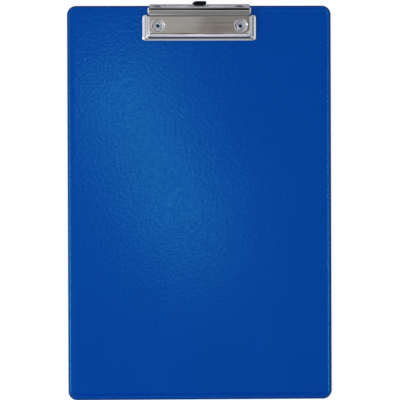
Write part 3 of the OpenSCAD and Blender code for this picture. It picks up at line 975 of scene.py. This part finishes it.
def pan_rings():
    """(half width, front y, z, corner radius, back y) from the flange's lip up to the flat top."""
    total = PAN_Z - LIP_Z
    heights = [FLANGE_H * share for share in FLANGE_SHARES]
    heights += [mix(FLANGE_H, FOOT_H, share) for share in FOOT_SHARES]
    heights += [total - drop for drop in CREST_DROPS]
    rings = []
    for height in heights:
        x = LIP_X - way_at(side_profile, height)
        y = LIP_Y + way_at(front_profile, height)
        rings.append((x, y, LIP_Z + height, mix(LIP_R, TOP_R, height / total), back_end(x, height)))
    return rings


pan = pan_rings()
flat_x, flat_y, flat_z, flat_r, flat_back = pan[-1]
print(f"pan: {len(pan)} rings; flat top begins at x {flat_x:.2f}, y {flat_y:.2f} mm")

# %% [markdown]
# ## The barrel and the lever
#
# Behind the pan the same sheet dips, rolls over the spring in a barrel, turns sharply up in a
# crease and ends as the lever. Seen from the side it is a line of arcs, and every point of
# it is found from the pin's axis. The lever bends back a little half way up, and its top has a
# shallow notch in the middle, where the hanger is gripped.

# %% Section of the sheet about the pin
BARREL_R = 4.5
DIP_R = 2.0
CREASE_R = 0.7
CREASE_AT = 76.0
LEVER_LOW = 3.0
LEVER_HIGH = 2.9
LEVER_ANGLE = 61.0
LEVER_BEND = 6.0
LEVER_PACE = 0.05
BEND_LEN = 0.5
TOP_X = 44.1
NOTCH_HALF = 6.4
NOTCH_DEEP = 1.7
END_R = 0.9
HALF_SHEET = SHEET / 2

pan_mid = PAN_Z - HALF_SHEET - PIN_Z
dip_centre = (-math.sqrt((BARREL_R + DIP_R) ** 2 - (pan_mid + DIP_R) ** 2), pan_mid + DIP_R)
dip_end = math.degrees(math.atan2(-dip_centre[1], -dip_centre[0]))
crease_turn = math.radians(CREASE_AT)
crease_centre = ((BARREL_R + CREASE_R) * math.cos(crease_turn), (BARREL_R + CREASE_R) * math.sin(crease_turn))
SEAM_Y = PIN_Y + dip_centre[0]

rolled = arc(dip_centre, DIP_R - HALF_SHEET, -90, dip_end, 10)
rolled += arc((0, 0), BARREL_R + HALF_SHEET, dip_end + 180, CREASE_AT, 24)[1:]
rolled += arc(crease_centre, CREASE_R - HALF_SHEET, CREASE_AT - 180, LEVER_ANGLE - 90, 8)[1:]
lever_foot = rolled[-1]


def lever_point(length):
    """A point on the lever's front, at a length from its foot, about the pin."""
    u, v = lever_foot
    for k in range(round(length / LEVER_PACE)):
        bent = min(max((k * LEVER_PACE - LEVER_LOW + BEND_LEN / 2) / BEND_LEN, 0), 1)
        turn = math.radians(LEVER_ANGLE - LEVER_BEND * bent)
        u += LEVER_PACE * math.cos(turn)
        v += LEVER_PACE * math.sin(turn)
    return u, v


def lever_cut(x):
    """How much shorter the lever is at x, for its notch and its rounded ends."""
    cut = 0.0
    if abs(x) < NOTCH_HALF:
        r = (NOTCH_HALF ** 2 + NOTCH_DEEP ** 2) / (2 * NOTCH_DEEP)
        cut = NOTCH_DEEP - r + math.sqrt(r ** 2 - x ** 2)
    past = abs(x) - (TOP_X - END_R)
    if past > 0:
        cut = END_R - math.sqrt(max(END_R ** 2 - past ** 2, 0))
    return cut


print(f"lever's top at y {PIN_Y + lever_point(LEVER_LOW + LEVER_HIGH)[0]:.2f}, "
      f"z {PIN_Z + lever_point(LEVER_LOW + LEVER_HIGH)[1]:.2f} mm")

# %% [markdown]
# The whole jaw is now one surface. Rings of the pan run round three sides, the flat top is
# filled between them with a drawn-in hole over each rivet, and the rolled section carries on
# behind the seam. Beside the flat top the section's ends start a few rows later, which leaves
# the relief slit.

# %% The jaw's outer surface
SIDE_STEPS = 7
HOLE_R = 6.05
HOLE_ROLL = 0.9
HOLE_TURN = 60.0
SLIT_ROW = 5
LEVER_ROWS = 12
CREST_DROP = 1.5
CREST_ERROR = 0.13
CREST_WAVE = 26.5
CREST_PEAK = 12.8
CREST_MIDDLE = -0.45


def pan_path(ring):
    """Points from the back of the left side round the front to the back of the right side."""
    x, y, z, r, back = ring
    corner = arc((-x + r, y + r), r, 180, 270, 10)
    left = [(-x, mix(back, y + r, k / SIDE_STEPS)) for k in range(SIDE_STEPS + 1)]
    half = left + corner[1:] + [(mix(-x + r, 0, k / 24), y) for k in range(1, 25)]
    whole = half + [(-px, py) for px, py in reversed(half[:-1])]
    return [(px, py, z + crest_error(px, py, z)) for px, py in whole]


def crest_error(x, y, z):
    """How far the front crest stands out at a place: most half way up it, and in waves along it."""
    up = (z - PAN_Z + CREST_DROP) / CREST_DROP
    if not 0 < up < 1 or y > flat_y:
        return 0.0
    wave = math.cos(math.tau * (x - CREST_PEAK) / CREST_WAVE) if abs(x - CREST_MIDDLE) < CREST_WAVE else -1.0
    return CREST_ERROR * wave * math.sin(math.pi * up) ** 2


def hole_rings(side):
    """Rings of a drawn-in hole, from the flat top down to its rim."""
    rings = []
    for k in range(6):
        t = math.radians(HOLE_TURN * k / 5)
        loop = arc((side * RIVET_X, RIVET_Y), HOLE_R - HOLE_ROLL * math.sin(t), 0, 360, 56)[:-1]
        rings.append([(x, y, flat_z - HOLE_ROLL * (1 - math.cos(t))) for x, y in loop])
    return rings


def section_row(row, xs):
    """One row of the rolled section across the jaw. Rows past the section climb the lever."""
    if row < len(rolled):
        u, v = rolled[row]
        return [(x, PIN_Y + u, PIN_Z + v) for x in xs]
    share = (row - len(rolled) + 1) / LEVER_ROWS
    places = [lever_point(share * (LEVER_LOW + LEVER_HIGH - lever_cut(x))) for x in xs]
    return [(x, PIN_Y + u, PIN_Z + v) for x, (u, v) in zip(xs, places)]


notch_columns = between(-NOTCH_HALF, NOTCH_HALF, 0.8)
side_columns = between(NOTCH_HALF, flat_x, 2.6)[1:]
columns = [-x for x in reversed(side_columns)] + notch_columns + side_columns
end_columns = between(flat_x, TOP_X - END_R, 0.4)[:-1] + between(TOP_X - END_R, TOP_X, 0.15)
pan[-1] = (flat_x, flat_y, flat_z, flat_r, SEAM_Y)

jaw_skin = new_skin()
add_rows(jaw_skin, [pan_path(ring) for ring in pan])
for side in (-1, 1):
    add_rows(jaw_skin, [loop + loop[:1] for loop in hole_rings(side)])
    xs = [side * x for x in end_columns]
    add_rows(jaw_skin, [section_row(row, xs) for row in range(SLIT_ROW, len(rolled) + LEVER_ROWS)])
add_rows(jaw_skin, [section_row(row, columns) for row in range(len(rolled) + LEVER_ROWS)])
border = pan_path(pan[-1]) + section_row(0, columns)[::-1][1:-1]
add_fill(jaw_skin, [border, hole_rings(-1)[0], hole_rings(1)[0]])
jaw = make_object("lever_jaw", jaw_skin, closed=False)
print(f"jaw's skin: {len(jaw_skin['points'])} points")

# %% [markdown]
# At each end the blank is folded down into an ear that turns on the pin. The ears are
# flat plates, round at the top where they close the barrel, and narrower below. They are
# joined to the jaw once the sheet has its gauge.

# %% Gauge, rims and ears
RIM = 0.16
EAR_TOP_R = 4.5
LUG_R = 3.2
LUG_TURN = 35
PIN_HOLE_R = 1.31
EAR_AIR = 0.02


def across_pin(a, b, depth):
    """A point of an outline about the pin, at x equal to depth."""
    return depth, PIN_Y + a, PIN_Z + b


def ear_outline():
    """The ear's outline about the pin: a half disc that narrows to a round lug."""
    outline = []
    for k in range(72):
        turn = 360 * k / 72
        below = min(max(abs(turn - 90) - 90, 0) / LUG_TURN, 1)
        r = mix(EAR_TOP_R, LUG_R, below * below * (3 - 2 * below))
        outline.append((r * math.cos(math.radians(turn)), r * math.sin(math.radians(turn))))
    return outline


def join_into(made, *others):
    """Moves the meshes of other objects into made."""
    with bpy.context.temp_override(active_object=made, selected_editable_objects=[made, *others]):
        bpy.ops.object.join()


thicken(jaw, SHEET)
settle(jaw, rim=RIM)
ears_skin = new_skin()
for side in (-1, 1):
    pin_hole = arc((0, 0), PIN_HOLE_R, 0, 360, 32)[:-1]
    inner_x, outer_x = side * (TOP_X - SHEET), side * (TOP_X - EAR_AIR)
    add_prism(ears_skin, [ear_outline(), pin_hole], across_pin, inner_x, outer_x)
ears = settle(make_object("jaw_ears", ears_skin), rim=RIM)
join_into(jaw, ears)
finish_piece(jaw, "jaw", jaw_nickel, "nickel_plate", "clip_jaw")

# %% [markdown]
# ## The base
#
# The base is a flat plate under the jaw. Two rivets hold it down, an ear stands up at each end
# for the pin, and a strap is raised in the middle. The hanger runs under the strap, in a slot
# that is wide in front, for its foot, and open at the back. A shallow ring is
# pressed up round each rivet hole to stiffen the plate.

# %% The base plate
BASE_HALF = 42.57
BASE_FRONT_Y = 147.42
BASE_CORNER_R = 4.0
EAR_R = 2.8
EAR_IN = TOP_X + 0.2
EAR_OUT = EAR_IN + SHEET
SLOT_HALF = 6.7
FOOT_SLOT_HALF = 8.7
SLOT_FRONT_Y = 149.8
STRAP_Y = 164.5
STRAP_LEN = 3.1
STRAP_TOP = 5.25
BASE_RIM = 0.14
RING_SECTION = ((3.9, 0.0), (4.1, 0.1), (4.4, 0.17), (4.7, 0.1), (4.9, 0.0), (4.9, -0.2), (3.9, -0.2))


def flat_place(a, b, depth):
    """A point of an outline in the board's plane."""
    return a, b, depth


half_base = arc((BASE_HALF - BASE_CORNER_R, BASE_FRONT_Y + BASE_CORNER_R), BASE_CORNER_R, -90, 0, 8)
half_base += [(BASE_HALF, PIN_Y - EAR_R), (EAR_OUT, PIN_Y - EAR_R), (EAR_OUT, PIN_Y + EAR_R)]
half_base += arc((BASE_HALF - BASE_CORNER_R, base_high.y - BASE_CORNER_R), BASE_CORNER_R, 45, 90, 5)
half_base += [(SLOT_HALF, base_high.y), (SLOT_HALF, STRAP_Y), (FOOT_SLOT_HALF, STRAP_Y)]
half_base += [(FOOT_SLOT_HALF, SLOT_FRONT_Y)]
base_outline = half_base + [(-x, y) for x, y in reversed(half_base)]
rivet_holes = [[(x, y) for x, y, _ in loop] for loop in rivet_loops(SHANK_HOLE_R, 0)]
base_skin = new_skin()
add_prism(base_skin, [base_outline] + rivet_holes, flat_place, FACE_Z, FACE_Z + SHEET)
print(f"base plate {2 * BASE_HALF:.1f} mm wide")

# %% Ears, strap and pressed rings


def ear_shape():
    """A standing ear: round over the pin and straight down to the plate."""
    drop = PIN_Z - FACE_Z
    return arc((0, 0), EAR_R, 0, 180, 20) + [(-EAR_R, -drop), (EAR_R, -drop)]


def strap_shape():
    """The strap seen along the hanger: two legs and a roof with rounded shoulders."""
    out = SLOT_HALF + SHEET
    roof = arc((out - SHEET, STRAP_TOP - SHEET), SHEET, 0, 90, 6)
    half = [(out, FACE_Z)] + roof
    inner = [(SLOT_HALF, STRAP_TOP - SHEET), (SLOT_HALF, FACE_Z)]
    return half + [(-x, z) for x, z in reversed(half)] + [(-x, z) for x, z in reversed(inner)] + inner


base = settle(make_object("base_plate", base_skin), rim=BASE_RIM)
raised = []
for side, place_name in ((-1, "left"), (1, "right")):
    ear_skin = new_skin()
    add_prism(ear_skin, [ear_shape()], across_pin, side * EAR_IN, side * EAR_OUT)
    raised.append(settle(make_object(f"ear_{place_name}", ear_skin), rim=BASE_RIM))
    rows = []
    for r, h in RING_SECTION + RING_SECTION[:1]:
        loop = arc((side * RIVET_X, RIVET_Y), r, 0, 360, 56)
        rows.append([(x, y, FACE_Z + SHEET + h) for x, y in loop])
    ring_skin = new_skin()
    add_rows(ring_skin, rows)
    raised.append(settle(make_object(f"ring_{place_name}", ring_skin)))
strap_skin = new_skin()
add_prism(strap_skin, [strap_shape()], lambda a, b, depth: (a, depth, b), STRAP_Y, STRAP_Y + STRAP_LEN)
raised.append(settle(make_object("strap", strap_skin), rim=BASE_RIM))
join_into(base, *raised)
finish_piece(base, "root", zinc, "nickel_plate", "clip_base")

# %% [markdown]
# ## Round parts
#
# The hinge pin and the rivets are turned or headed parts, so each is a half section spun about
# an axis. The pin has a flat-domed head at each end. A rivet is hollow: its head is a rolled
# ring on a thin flange, and its tail is rolled out in the core's recess.

# %% Spin a section
PIN_R = 1.25
PIN_HEAD_R = 2.8
PIN_HEAD_H = 1.15
PIN_HEAD_EDGE = 0.14
PIN_HEAD_UNDERCUT = 0.1
DOME_STOP = 4
PIN_RIM = 0.08


def add_spin(skin, section, place, steps=48):
    """Carries a closed half section of (radius, along) once round its axis."""
    closed = section + section[:1]
    rows = []
    for k in range(steps + 1):
        turn = 2 * math.pi * (k % steps) / steps
        rows.append([place(r * math.cos(turn), r * math.sin(turn), along) for r, along in closed])
    add_rows(skin, rows)


head_in = pin_high.x - PIN_HEAD_H
dome_r = (PIN_HEAD_R ** 2 + PIN_HEAD_H ** 2) / (2 * PIN_HEAD_H)
half_open = math.degrees(math.asin(PIN_HEAD_R / dome_r))
dome = [(r, x) for x, r in arc((pin_high.x - dome_r, 0), dome_r, 0, half_open - DOME_STOP, 9)]
half_pin = dome + [(PIN_HEAD_R, head_in + PIN_HEAD_EDGE), (PIN_HEAD_R - PIN_HEAD_UNDERCUT, head_in)]
half_pin += [(PIN_R, head_in), (PIN_R, 0.0)]
whole_pin = half_pin + [(r, -x) for r, x in reversed(half_pin[:-1])]
pin_skin = new_skin()
add_spin(pin_skin, whole_pin, across_pin)
pin = settle(make_object("hinge_pin", pin_skin), rim=PIN_RIM)
finish_piece(pin, "root", nickel, "nickel_plate", "pivot_pin")

# %% [markdown]
# The two rivets are the same part, so one is made and Geometry Nodes sets it at both places: a
# line of points one pitch apart, an instance at each, then real geometry again and
# the material. Its inputs are the count, the first place, the pitch and the material.

# %% One hollow rivet
BORE_R = 1.4
SHANK_R = 2.0
HEAD_R = 3.5
SEAT_Z = FACE_Z + SHEET
TAIL_Z = FILM
ROLL_R = 0.55
ROLL_TOP = 0.9
TAIL_TOP_Z = 1.0
BORE_EASE = 0.3

roll = arc((BORE_R + ROLL_R, SEAT_Z + ROLL_TOP - ROLL_R), ROLL_R, 180, -20, 14)
flange = [(2.62, SEAT_Z + 0.30), (3.1, SEAT_Z + 0.27), (3.4, SEAT_Z + 0.2)]
flange += [(HEAD_R, SEAT_Z + 0.1), (3.42, SEAT_Z)]
shank = [(SHANK_R, SEAT_Z), (SHANK_R, TAIL_TOP_Z)]
tail = [(3.45, TAIL_TOP_Z), (3.62, 0.9), (3.7, 0.65), (3.62, 0.4), (3.45, TAIL_Z)]
bore = [(BORE_R + BORE_EASE, TAIL_Z), (BORE_R, TAIL_Z + BORE_EASE)]
rivet_section = roll + flange + shank + tail + bore
rivet_skin = new_skin()
add_spin(rivet_skin, rivet_section, flat_place)
rivets = make_object("rivets", rivet_skin)
rivets.data.shade_smooth()
print(f"rivet section: {len(rivet_section)} points")

# %% Rivets set by Geometry Nodes


def new_geometry_tree(name, inputs):
    """A geometry node tree with one geometry in and out, and named inputs for its sizes."""
    tree = bpy.data.node_groups.new(name, "GeometryNodeTree")
    tree.interface.new_socket("Geometry", in_out="INPUT", socket_type="NodeSocketGeometry")
    for label, kind in inputs.items():
        tree.interface.new_socket(label, in_out="INPUT", socket_type=kind)
    tree.interface.new_socket("Geometry", in_out="OUTPUT", socket_type="NodeSocketGeometry")
    return tree, tree.nodes.new("NodeGroupInput"), tree.nodes.new("NodeGroupOutput")


def add_rule(made, tree, values):
    """Puts a tree on an object, with the tree's inputs set by identifier."""
    modifier = made.modifiers.new("rule", "NODES")
    modifier.node_group = tree
    for item in tree.interface.items_tree:
        if item.in_out == "INPUT" and item.name in values:
            modifier[item.identifier] = values[item.name]


row_tree, row_in, row_out = new_geometry_tree(
    "row of rivets",
    {"Count": "NodeSocketInt", "First": VECTOR, "Pitch": FLOAT, "Material": "NodeSocketMaterial"},
)
pitch = add_node(row_tree, "ShaderNodeCombineXYZ", {"X": row_in.outputs["Pitch"]})
line = add_node(row_tree, "GeometryNodeMeshLine",
                {"Count": row_in.outputs["Count"], "Start Location": row_in.outputs["First"],
                 "Offset": pitch.outputs[0]})
placed = add_node(row_tree, "GeometryNodeInstanceOnPoints",
                  {"Points": line.outputs["Mesh"], "Instance": row_in.outputs["Geometry"]})
real = add_node(row_tree, "GeometryNodeRealizeInstances", {"Geometry": placed.outputs["Instances"]})
painted = add_node(row_tree, "GeometryNodeSetMaterial",
                   {"Geometry": real.outputs["Geometry"], "Material": row_in.outputs["Material"]})
row_tree.links.new(painted.outputs["Geometry"], row_out.inputs["Geometry"])
first_rivet = (-RIVET_X * MM, RIVET_Y * MM, 0.0)
add_rule(rivets, row_tree, {"Count": 2, "First": first_rivet, "Pitch": 2 * RIVET_X * MM, "Material": bright})
plain_mesh(rivets)
finish_piece(rivets, "root", bright, "rivet_metal", "rivet_left", "rivet_right")
print(f"rivets: {len(rivets.data.polygons)} faces")

# %% [markdown]
# ## The spring
#
# A double torsion spring sits round the pin inside the barrel: one wire with a coil
# each side of the middle. The coils' inner ends rise and meet in a bail behind the lever, and
# the outer ends press on the base. The wire's centre line follows a rule, so it is worked
# out point by point, and a Geometry Nodes tree gives it its round section. The two
# halves are separate meshes that meet in the middle of the bail.

# %% Centre line of half the spring
WIRE_R = 0.6
COIL_R = 2.6
CURL_PITCH = 1.95
COIL_FROM = 100.0
LEG_DROP = 8.2
CURLS = 5
COIL_X = SLOT_HALF + SHEET + 0.8 + WIRE_R
BAIL_R = 1.4
BAIL_AIR = 0.25
BAIL_KNEE = (-0.75, -0.85)
COIL_ENTRY = (1.0, 0.15)
LEG_LEN = 3.6
LEG_SHARES = (0.35, 0.7, 1.0)
CURL_STEP = 12
WIRE_SIDES = 16
coil_turn = 360 * CURLS + 270 - LEG_DROP - COIL_FROM
crease_end = (crease_centre[0] + CREASE_R * math.cos(math.radians(LEVER_ANGLE - 90)),
              crease_centre[1] + CREASE_R * math.sin(math.radians(LEVER_ANGLE - 90)))
bail_gap = WIRE_R + HALF_SHEET + BAIL_AIR
lever_turn = math.radians(LEVER_ANGLE)
bail_low = (crease_end[0] + bail_gap * math.sin(lever_turn), crease_end[1] - bail_gap * math.cos(lever_turn))
bail_high = (bail_low[0] + LEVER_LOW * math.cos(lever_turn), bail_low[1] + LEVER_LOW * math.sin(lever_turn))


def spring_line():
    """Points (x, u, v) about the pin, from the bail's middle through the coil to the leg's end."""
    line = [(x, *bail_high) for x in between(0.0, COIL_X - BAIL_R, 1.0)]
    for k in range(1, 7):
        t = math.radians(15 * k)
        back = BAIL_R * (1 - math.cos(t))
        u = bail_high[0] - back * math.cos(lever_turn)
        line.append((COIL_X - BAIL_R * (1 - math.sin(t)), u, bail_high[1] - back * math.sin(lever_turn)))
    start = (COIL_R * math.cos(math.radians(COIL_FROM)), COIL_R * math.sin(math.radians(COIL_FROM)))
    line += [(COIL_X, *bail_low), (COIL_X, bail_low[0] + BAIL_KNEE[0], bail_low[1] + BAIL_KNEE[1])]
    line.append((COIL_X, start[0] + COIL_ENTRY[0], start[1] + COIL_ENTRY[1]))
    steps = round(coil_turn / CURL_STEP)
    for k in range(steps + 1):
        t = math.radians(COIL_FROM + coil_turn * k / steps)
        x = COIL_X + CURL_PITCH * coil_turn / 360 * k / steps
        line.append((x, COIL_R * math.cos(t), COIL_R * math.sin(t)))
    x, u, v = line[-1]
    drop = math.radians(LEG_DROP)
    for share in LEG_SHARES:
        line.append((x, u + share * LEG_LEN * math.cos(drop), v - share * LEG_LEN * math.sin(drop)))
    return line


half_wire = spring_line()
print(f"half the wire: {len(half_wire)} points")

# %% Wire by Geometry Nodes
wire_tree, wire_in, wire_out = new_geometry_tree(
    "round wire", {"Wire radius": FLOAT, "Sides": "NodeSocketInt", "Material": "NodeSocketMaterial"})
ring_curve = add_node(wire_tree, "GeometryNodeCurvePrimitiveCircle",
                      {"Resolution": wire_in.outputs["Sides"], "Radius": wire_in.outputs["Wire radius"]})
tube = add_node(wire_tree, "GeometryNodeCurveToMesh",
                {"Curve": wire_in.outputs["Geometry"], "Profile Curve": ring_curve.outputs["Curve"],
                 "Fill Caps": True})
rounded = add_node(wire_tree, "GeometryNodeSetShadeSmooth", {"Geometry": tube.outputs["Mesh"]})
real_wire = add_node(wire_tree, "GeometryNodeRealizeInstances", {"Geometry": rounded.outputs["Geometry"]})
painted_wire = add_node(wire_tree, "GeometryNodeSetMaterial",
                        {"Geometry": real_wire.outputs["Geometry"], "Material": wire_in.outputs["Material"]})
wire_tree.links.new(painted_wire.outputs["Geometry"], wire_out.inputs["Geometry"])


def make_wire(name, points):
    """A round wire along points in millimetres, as a plain mesh."""
    curve = bpy.data.curves.new(name, "CURVE")
    curve.dimensions = "3D"
    spline = curve.splines.new("POLY")
    spline.points.add(len(points) - 1)
    for at, place in zip(spline.points, points):
        at.co = (*(c * MM for c in place), 1.0)
    drawn = add_object(name + "_line", curve)
    add_rule(drawn, wire_tree, {"Wire radius": WIRE_R * MM, "Sides": WIRE_SIDES, "Material": steel})
    mesh = evaluated_mesh(drawn)
    bpy.data.objects.remove(drawn)
    turn_faces(mesh)
    return add_object(name, mesh)


for side, name in ((-1, "spring_left"), (1, "spring_right")):
    points = [(side * x, PIN_Y + u, PIN_Z + v) for x, u, v in half_wire]
    half = make_wire(name, points)
    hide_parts("torsion_spring")
    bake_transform(half)
    print(f"{name}: {len(half.data.polygons)} faces")

# %% [markdown]
# ## The hanger
#
# The hanger is a flat moulding: a tongue with an eye for a nail, one generous and one tight
# corner at its tip, a ridge to pull it by, and a wider foot that stops it against the strap.

# %% The hanger
TAB_HALF = 6.4
TAB_FOOT_HALF = 8.4
TAB_FOOT_LEN = 2.6
TAB_T = 1.4
EYE_R = 3.0
EYE_INSET = 7.2
TIP_ROUND_R = 4.2
TIP_CORNER_R = 1.2
TAB_RIM = 0.22
RIDGE_W = 1.0
RIDGE_DEEP = 0.7
RIDGE_RIM = 0.1

tip_y = tab_high.y
foot_y = tab_low.y
outline = [(-TAB_FOOT_HALF, foot_y), (TAB_FOOT_HALF, foot_y), (TAB_FOOT_HALF, foot_y + TAB_FOOT_LEN)]
outline += [(TAB_HALF, foot_y + TAB_FOOT_LEN)]
outline += arc((TAB_HALF - TIP_CORNER_R, tip_y - TIP_CORNER_R), TIP_CORNER_R, 0, 90, 8)
outline += arc((-TAB_HALF + TIP_ROUND_R, tip_y - TIP_ROUND_R), TIP_ROUND_R, 90, 180, 16)
outline += [(-TAB_HALF, foot_y + TAB_FOOT_LEN), (-TAB_FOOT_HALF, foot_y + TAB_FOOT_LEN)]
eye = arc((0, tip_y - EYE_INSET), EYE_R, 0, 360, 48)[:-1]
tab_skin = new_skin()
add_prism(tab_skin, [outline, eye], flat_place, tab_low.z, tab_low.z + TAB_T)
tab = settle(make_object("hanger", tab_skin), rim=TAB_RIM, rim_steps=3)

ridge_half = (TAB_HALF * 2 - TIP_ROUND_R - TIP_CORNER_R) / 2
ridge_x = (TIP_ROUND_R - TIP_CORNER_R) / 2
ridge_y = tip_y - 2 * RIDGE_W
ridge_top = arc((ridge_y + RIDGE_W / 2, tab_high.z - RIDGE_W / 2), RIDGE_W / 2, 180, 0, 10)
ridge_foot_z = tab_high.z - RIDGE_DEEP
ridge_outline = [(ridge_y, ridge_foot_z)] + ridge_top + [(ridge_y + RIDGE_W, ridge_foot_z)]
ridge_ends = (ridge_x - ridge_half, ridge_x + ridge_half)
ridge_skin = new_skin()
add_prism(ridge_skin, [ridge_outline], lambda a, b, depth: (depth, a, b), *ridge_ends)
ridge = settle(make_object("ridge", ridge_skin), rim=RIDGE_RIM)
join_into(tab, ridge)
finish_piece(tab, "hanger", black_material, "black_plastic", "hanging_tab")

# %% [markdown]
# ## Floor and light
#
# The board lies on a plain white floor, which the camera and the mirroring metal see as white.
# Most of the light comes from the sky of the studio. Over the board it is dim, and darker on
# the right, which is what the clip's flat top mirrors. Low on both sides it is bright.

# %% Floor
FLOOR_HALF = 8.0
FLOOR_DROP = 0.00005
FLOOR_GLOW = 0.93

floor_mesh = bpy.data.meshes.new("floor")
corners = [(a * FLOOR_HALF, b * FLOOR_HALF) for a, b in ((-1, -1), (1, -1), (1, 1), (-1, 1))]
floor_mesh.from_pydata([(x, y, -FLOOR_DROP) for x, y in corners], [], [(0, 1, 2, 3)])
floor = add_object("floor", floor_mesh)
floor_material, floor_tree, floor_shader, _ = new_material(
    "floor", {"Base Color": (1.0, 1.0, 1.0, 1.0), "Roughness": 0.9, "Specular IOR Level": 0.0})
floor_seen = add_node(floor_tree, "ShaderNodeLightPath").outputs
seen = math_node(floor_tree, "MAXIMUM", floor_seen["Is Camera Ray"], floor_seen["Is Glossy Ray"])
seen = math_node(floor_tree, "MAXIMUM", seen, floor_seen["Is Transmission Ray"])
glow = add_node(floor_tree, "ShaderNodeEmission", {"Strength": 1.0})
glow_share = math_node(floor_tree, "MULTIPLY", seen, FLOOR_GLOW)
blend = add_node(floor_tree, "ShaderNodeMixShader",
                 {0: glow_share, 1: floor_shader.outputs[0], 2: glow.outputs[0]})
floor_tree.links.new(blend.outputs[0], floor_tree.nodes["Material Output"].inputs["Surface"])
floor_mesh.materials.append(floor_material)

# %% [markdown]
# The sky's colour depends only on the direction: X to the right, Y towards the clip's end and Z
# up, each between -1 and 1. The tones are laid over each other in turn, each over a range of one
# of the three. A metal face mirrors the tone that lies at twice its own slope, so the narrow
# ranges near Y = 0 are for the nearly flat faces, and the strip low in front lights the crest.

# %% Studio sky
TOP_RIGHT = (0.160, 0.142, 0.133)
TOP_LEFT = (0.320, 0.298, 0.280)
NEAR = (0.75, 0.73, 0.71)
GAP = (0.04, 0.038, 0.036)
FRONT = (0.32, 0.312, 0.305)
FRONT_LOW = (0.50, 0.58, 0.65)
BACK = (0.80, 0.78, 0.76)
STRIP_DIM = (0.62, 0.58, 0.62)
STRIP = (1.30, 1.25, 1.27)
LEFT = (0.92, 0.99, 1.10)
RIGHT = (0.92, 0.98, 1.08)
OVERHEAD = (
    ("X", 0.06, 0.0, TOP_LEFT),
    ("Y", 0.045, 0.0, NEAR),
    ("Y", -0.15, -0.19, GAP),
    ("Y", -0.33, -0.42, FRONT),
    ("Y", -0.85, -0.90, FRONT_LOW),
    ("Y", 0.14, 0.22, BACK),
    ("Y", 0.60, 0.80, FRONT),
)
SIDES = (("X", -0.25, -0.36, LEFT), ("X", 0.30, 0.60, RIGHT))

world = bpy.data.worlds.new("studio")
bpy.context.scene.world = world
world.use_nodes = True
sky = world.node_tree
background = sky.nodes["Background"]
direction = sky.nodes.new("ShaderNodeTexCoord").outputs["Generated"]
split = add_node(sky, "ShaderNodeSeparateXYZ", {0: direction}).outputs


def stepped(value, start, end):
    """A mask that goes smoothly from 0 where value is start to 1 where it is end."""
    ranges = {"Value": value, "From Min": start, "From Max": end, "To Min": 0.0, "To Max": 1.0}
    return add_node(sky, "ShaderNodeMapRange", ranges, interpolation_type="SMOOTHSTEP").outputs["Result"]


def lay_tones(below, layers):
    """Lays tones over what is below, each over a range of one direction, and gives the last socket."""
    for axis, start, end, tone in layers:
        below = mix_colour(sky, stepped(split[axis], start, end), below, tone)
    return below


def both(first, second):
    """A mask where both masks hold."""
    return math_node(sky, "MULTIPLY", first, second)


strip_band = both(stepped(split["Z"], 0.31, 0.27), stepped(split["Z"], 0.0, 0.03))
strip_mask = both(strip_band, stepped(split["Y"], 0.0, -0.2))
strip_window = both(stepped(split["X"], 0.016, 0.026), stepped(split["X"], 0.056, 0.044))
tones = lay_tones(TOP_RIGHT, OVERHEAD)
tones = mix_colour(sky, strip_mask, tones, STRIP_DIM)
tones = mix_colour(sky, both(strip_mask, strip_window), tones, STRIP)
tones = lay_tones(tones, SIDES)
sky.links.new(tones, background.inputs["Color"])
print("studio sky ready")

# %% [markdown]
# A softbox on the left models the edges. A long narrow one over the board lays the broad
# diagonal sheen over the film, and a short one carries the sheen on to the corner beside the
# clip. Both are kept off the jaw, which would mirror them whole. A faint card hangs over the
# clip's left end.

# %% Softboxes


def softbox(name, place, target, size, radiance, turn=0.0):
    """A rectangular lamp, its place and size in metres, turned to its target and then about its own axis."""
    data = bpy.data.lights.new(name, "AREA")
    data.shape = "RECTANGLE"
    data.size, data.size_y = size
    data.energy = radiance * math.pi * size[0] * size[1]
    lamp = add_object(name, data)
    lamp.location = place
    away = Vector(place) - Vector(target)
    lamp.rotation_euler = away.to_track_quat("Z", "Y").to_euler()
    lamp.rotation_euler.rotate_axis("Z", math.radians(turn))
    lamp.visible_camera = False
    return lamp


def keep_off(lamp, piece):
    """Keeps a lamp's light off one piece."""
    spared = bpy.data.collections.new(f"{lamp.name} spares")
    spared.objects.link(piece)
    spared.collection_objects[0].light_linking.link_state = "EXCLUDE"
    lamp.light_linking.receiver_collection = spared


softbox("left softbox", (-1.60, -0.20, 1.35), (0, 0, 0), (0.5, 0.5), 16.0)
sheen = softbox("sheen strip", (-0.031, 0.030, 0.50), (-0.031, 0.030, 0), (0.036, 0.217), 6.4, 26.0)
corner = softbox("corner sheen", (-0.063, 0.135, 0.50), (-0.063, 0.135, 0), (0.110, 0.036), 2.4, 8.0)
keep_off(sheen, jaw)
keep_off(corner, jaw)
softbox("clip card", (-0.054, 0.175, 0.25), (-0.054, 0.175, 0), (0.120, 0.030), 0.14)

# %% [markdown]
# ## View settings
#
# The standard view keeps colours as they are written.

# %% Finish
bpy.context.scene.view_settings.view_transform = "Standard"
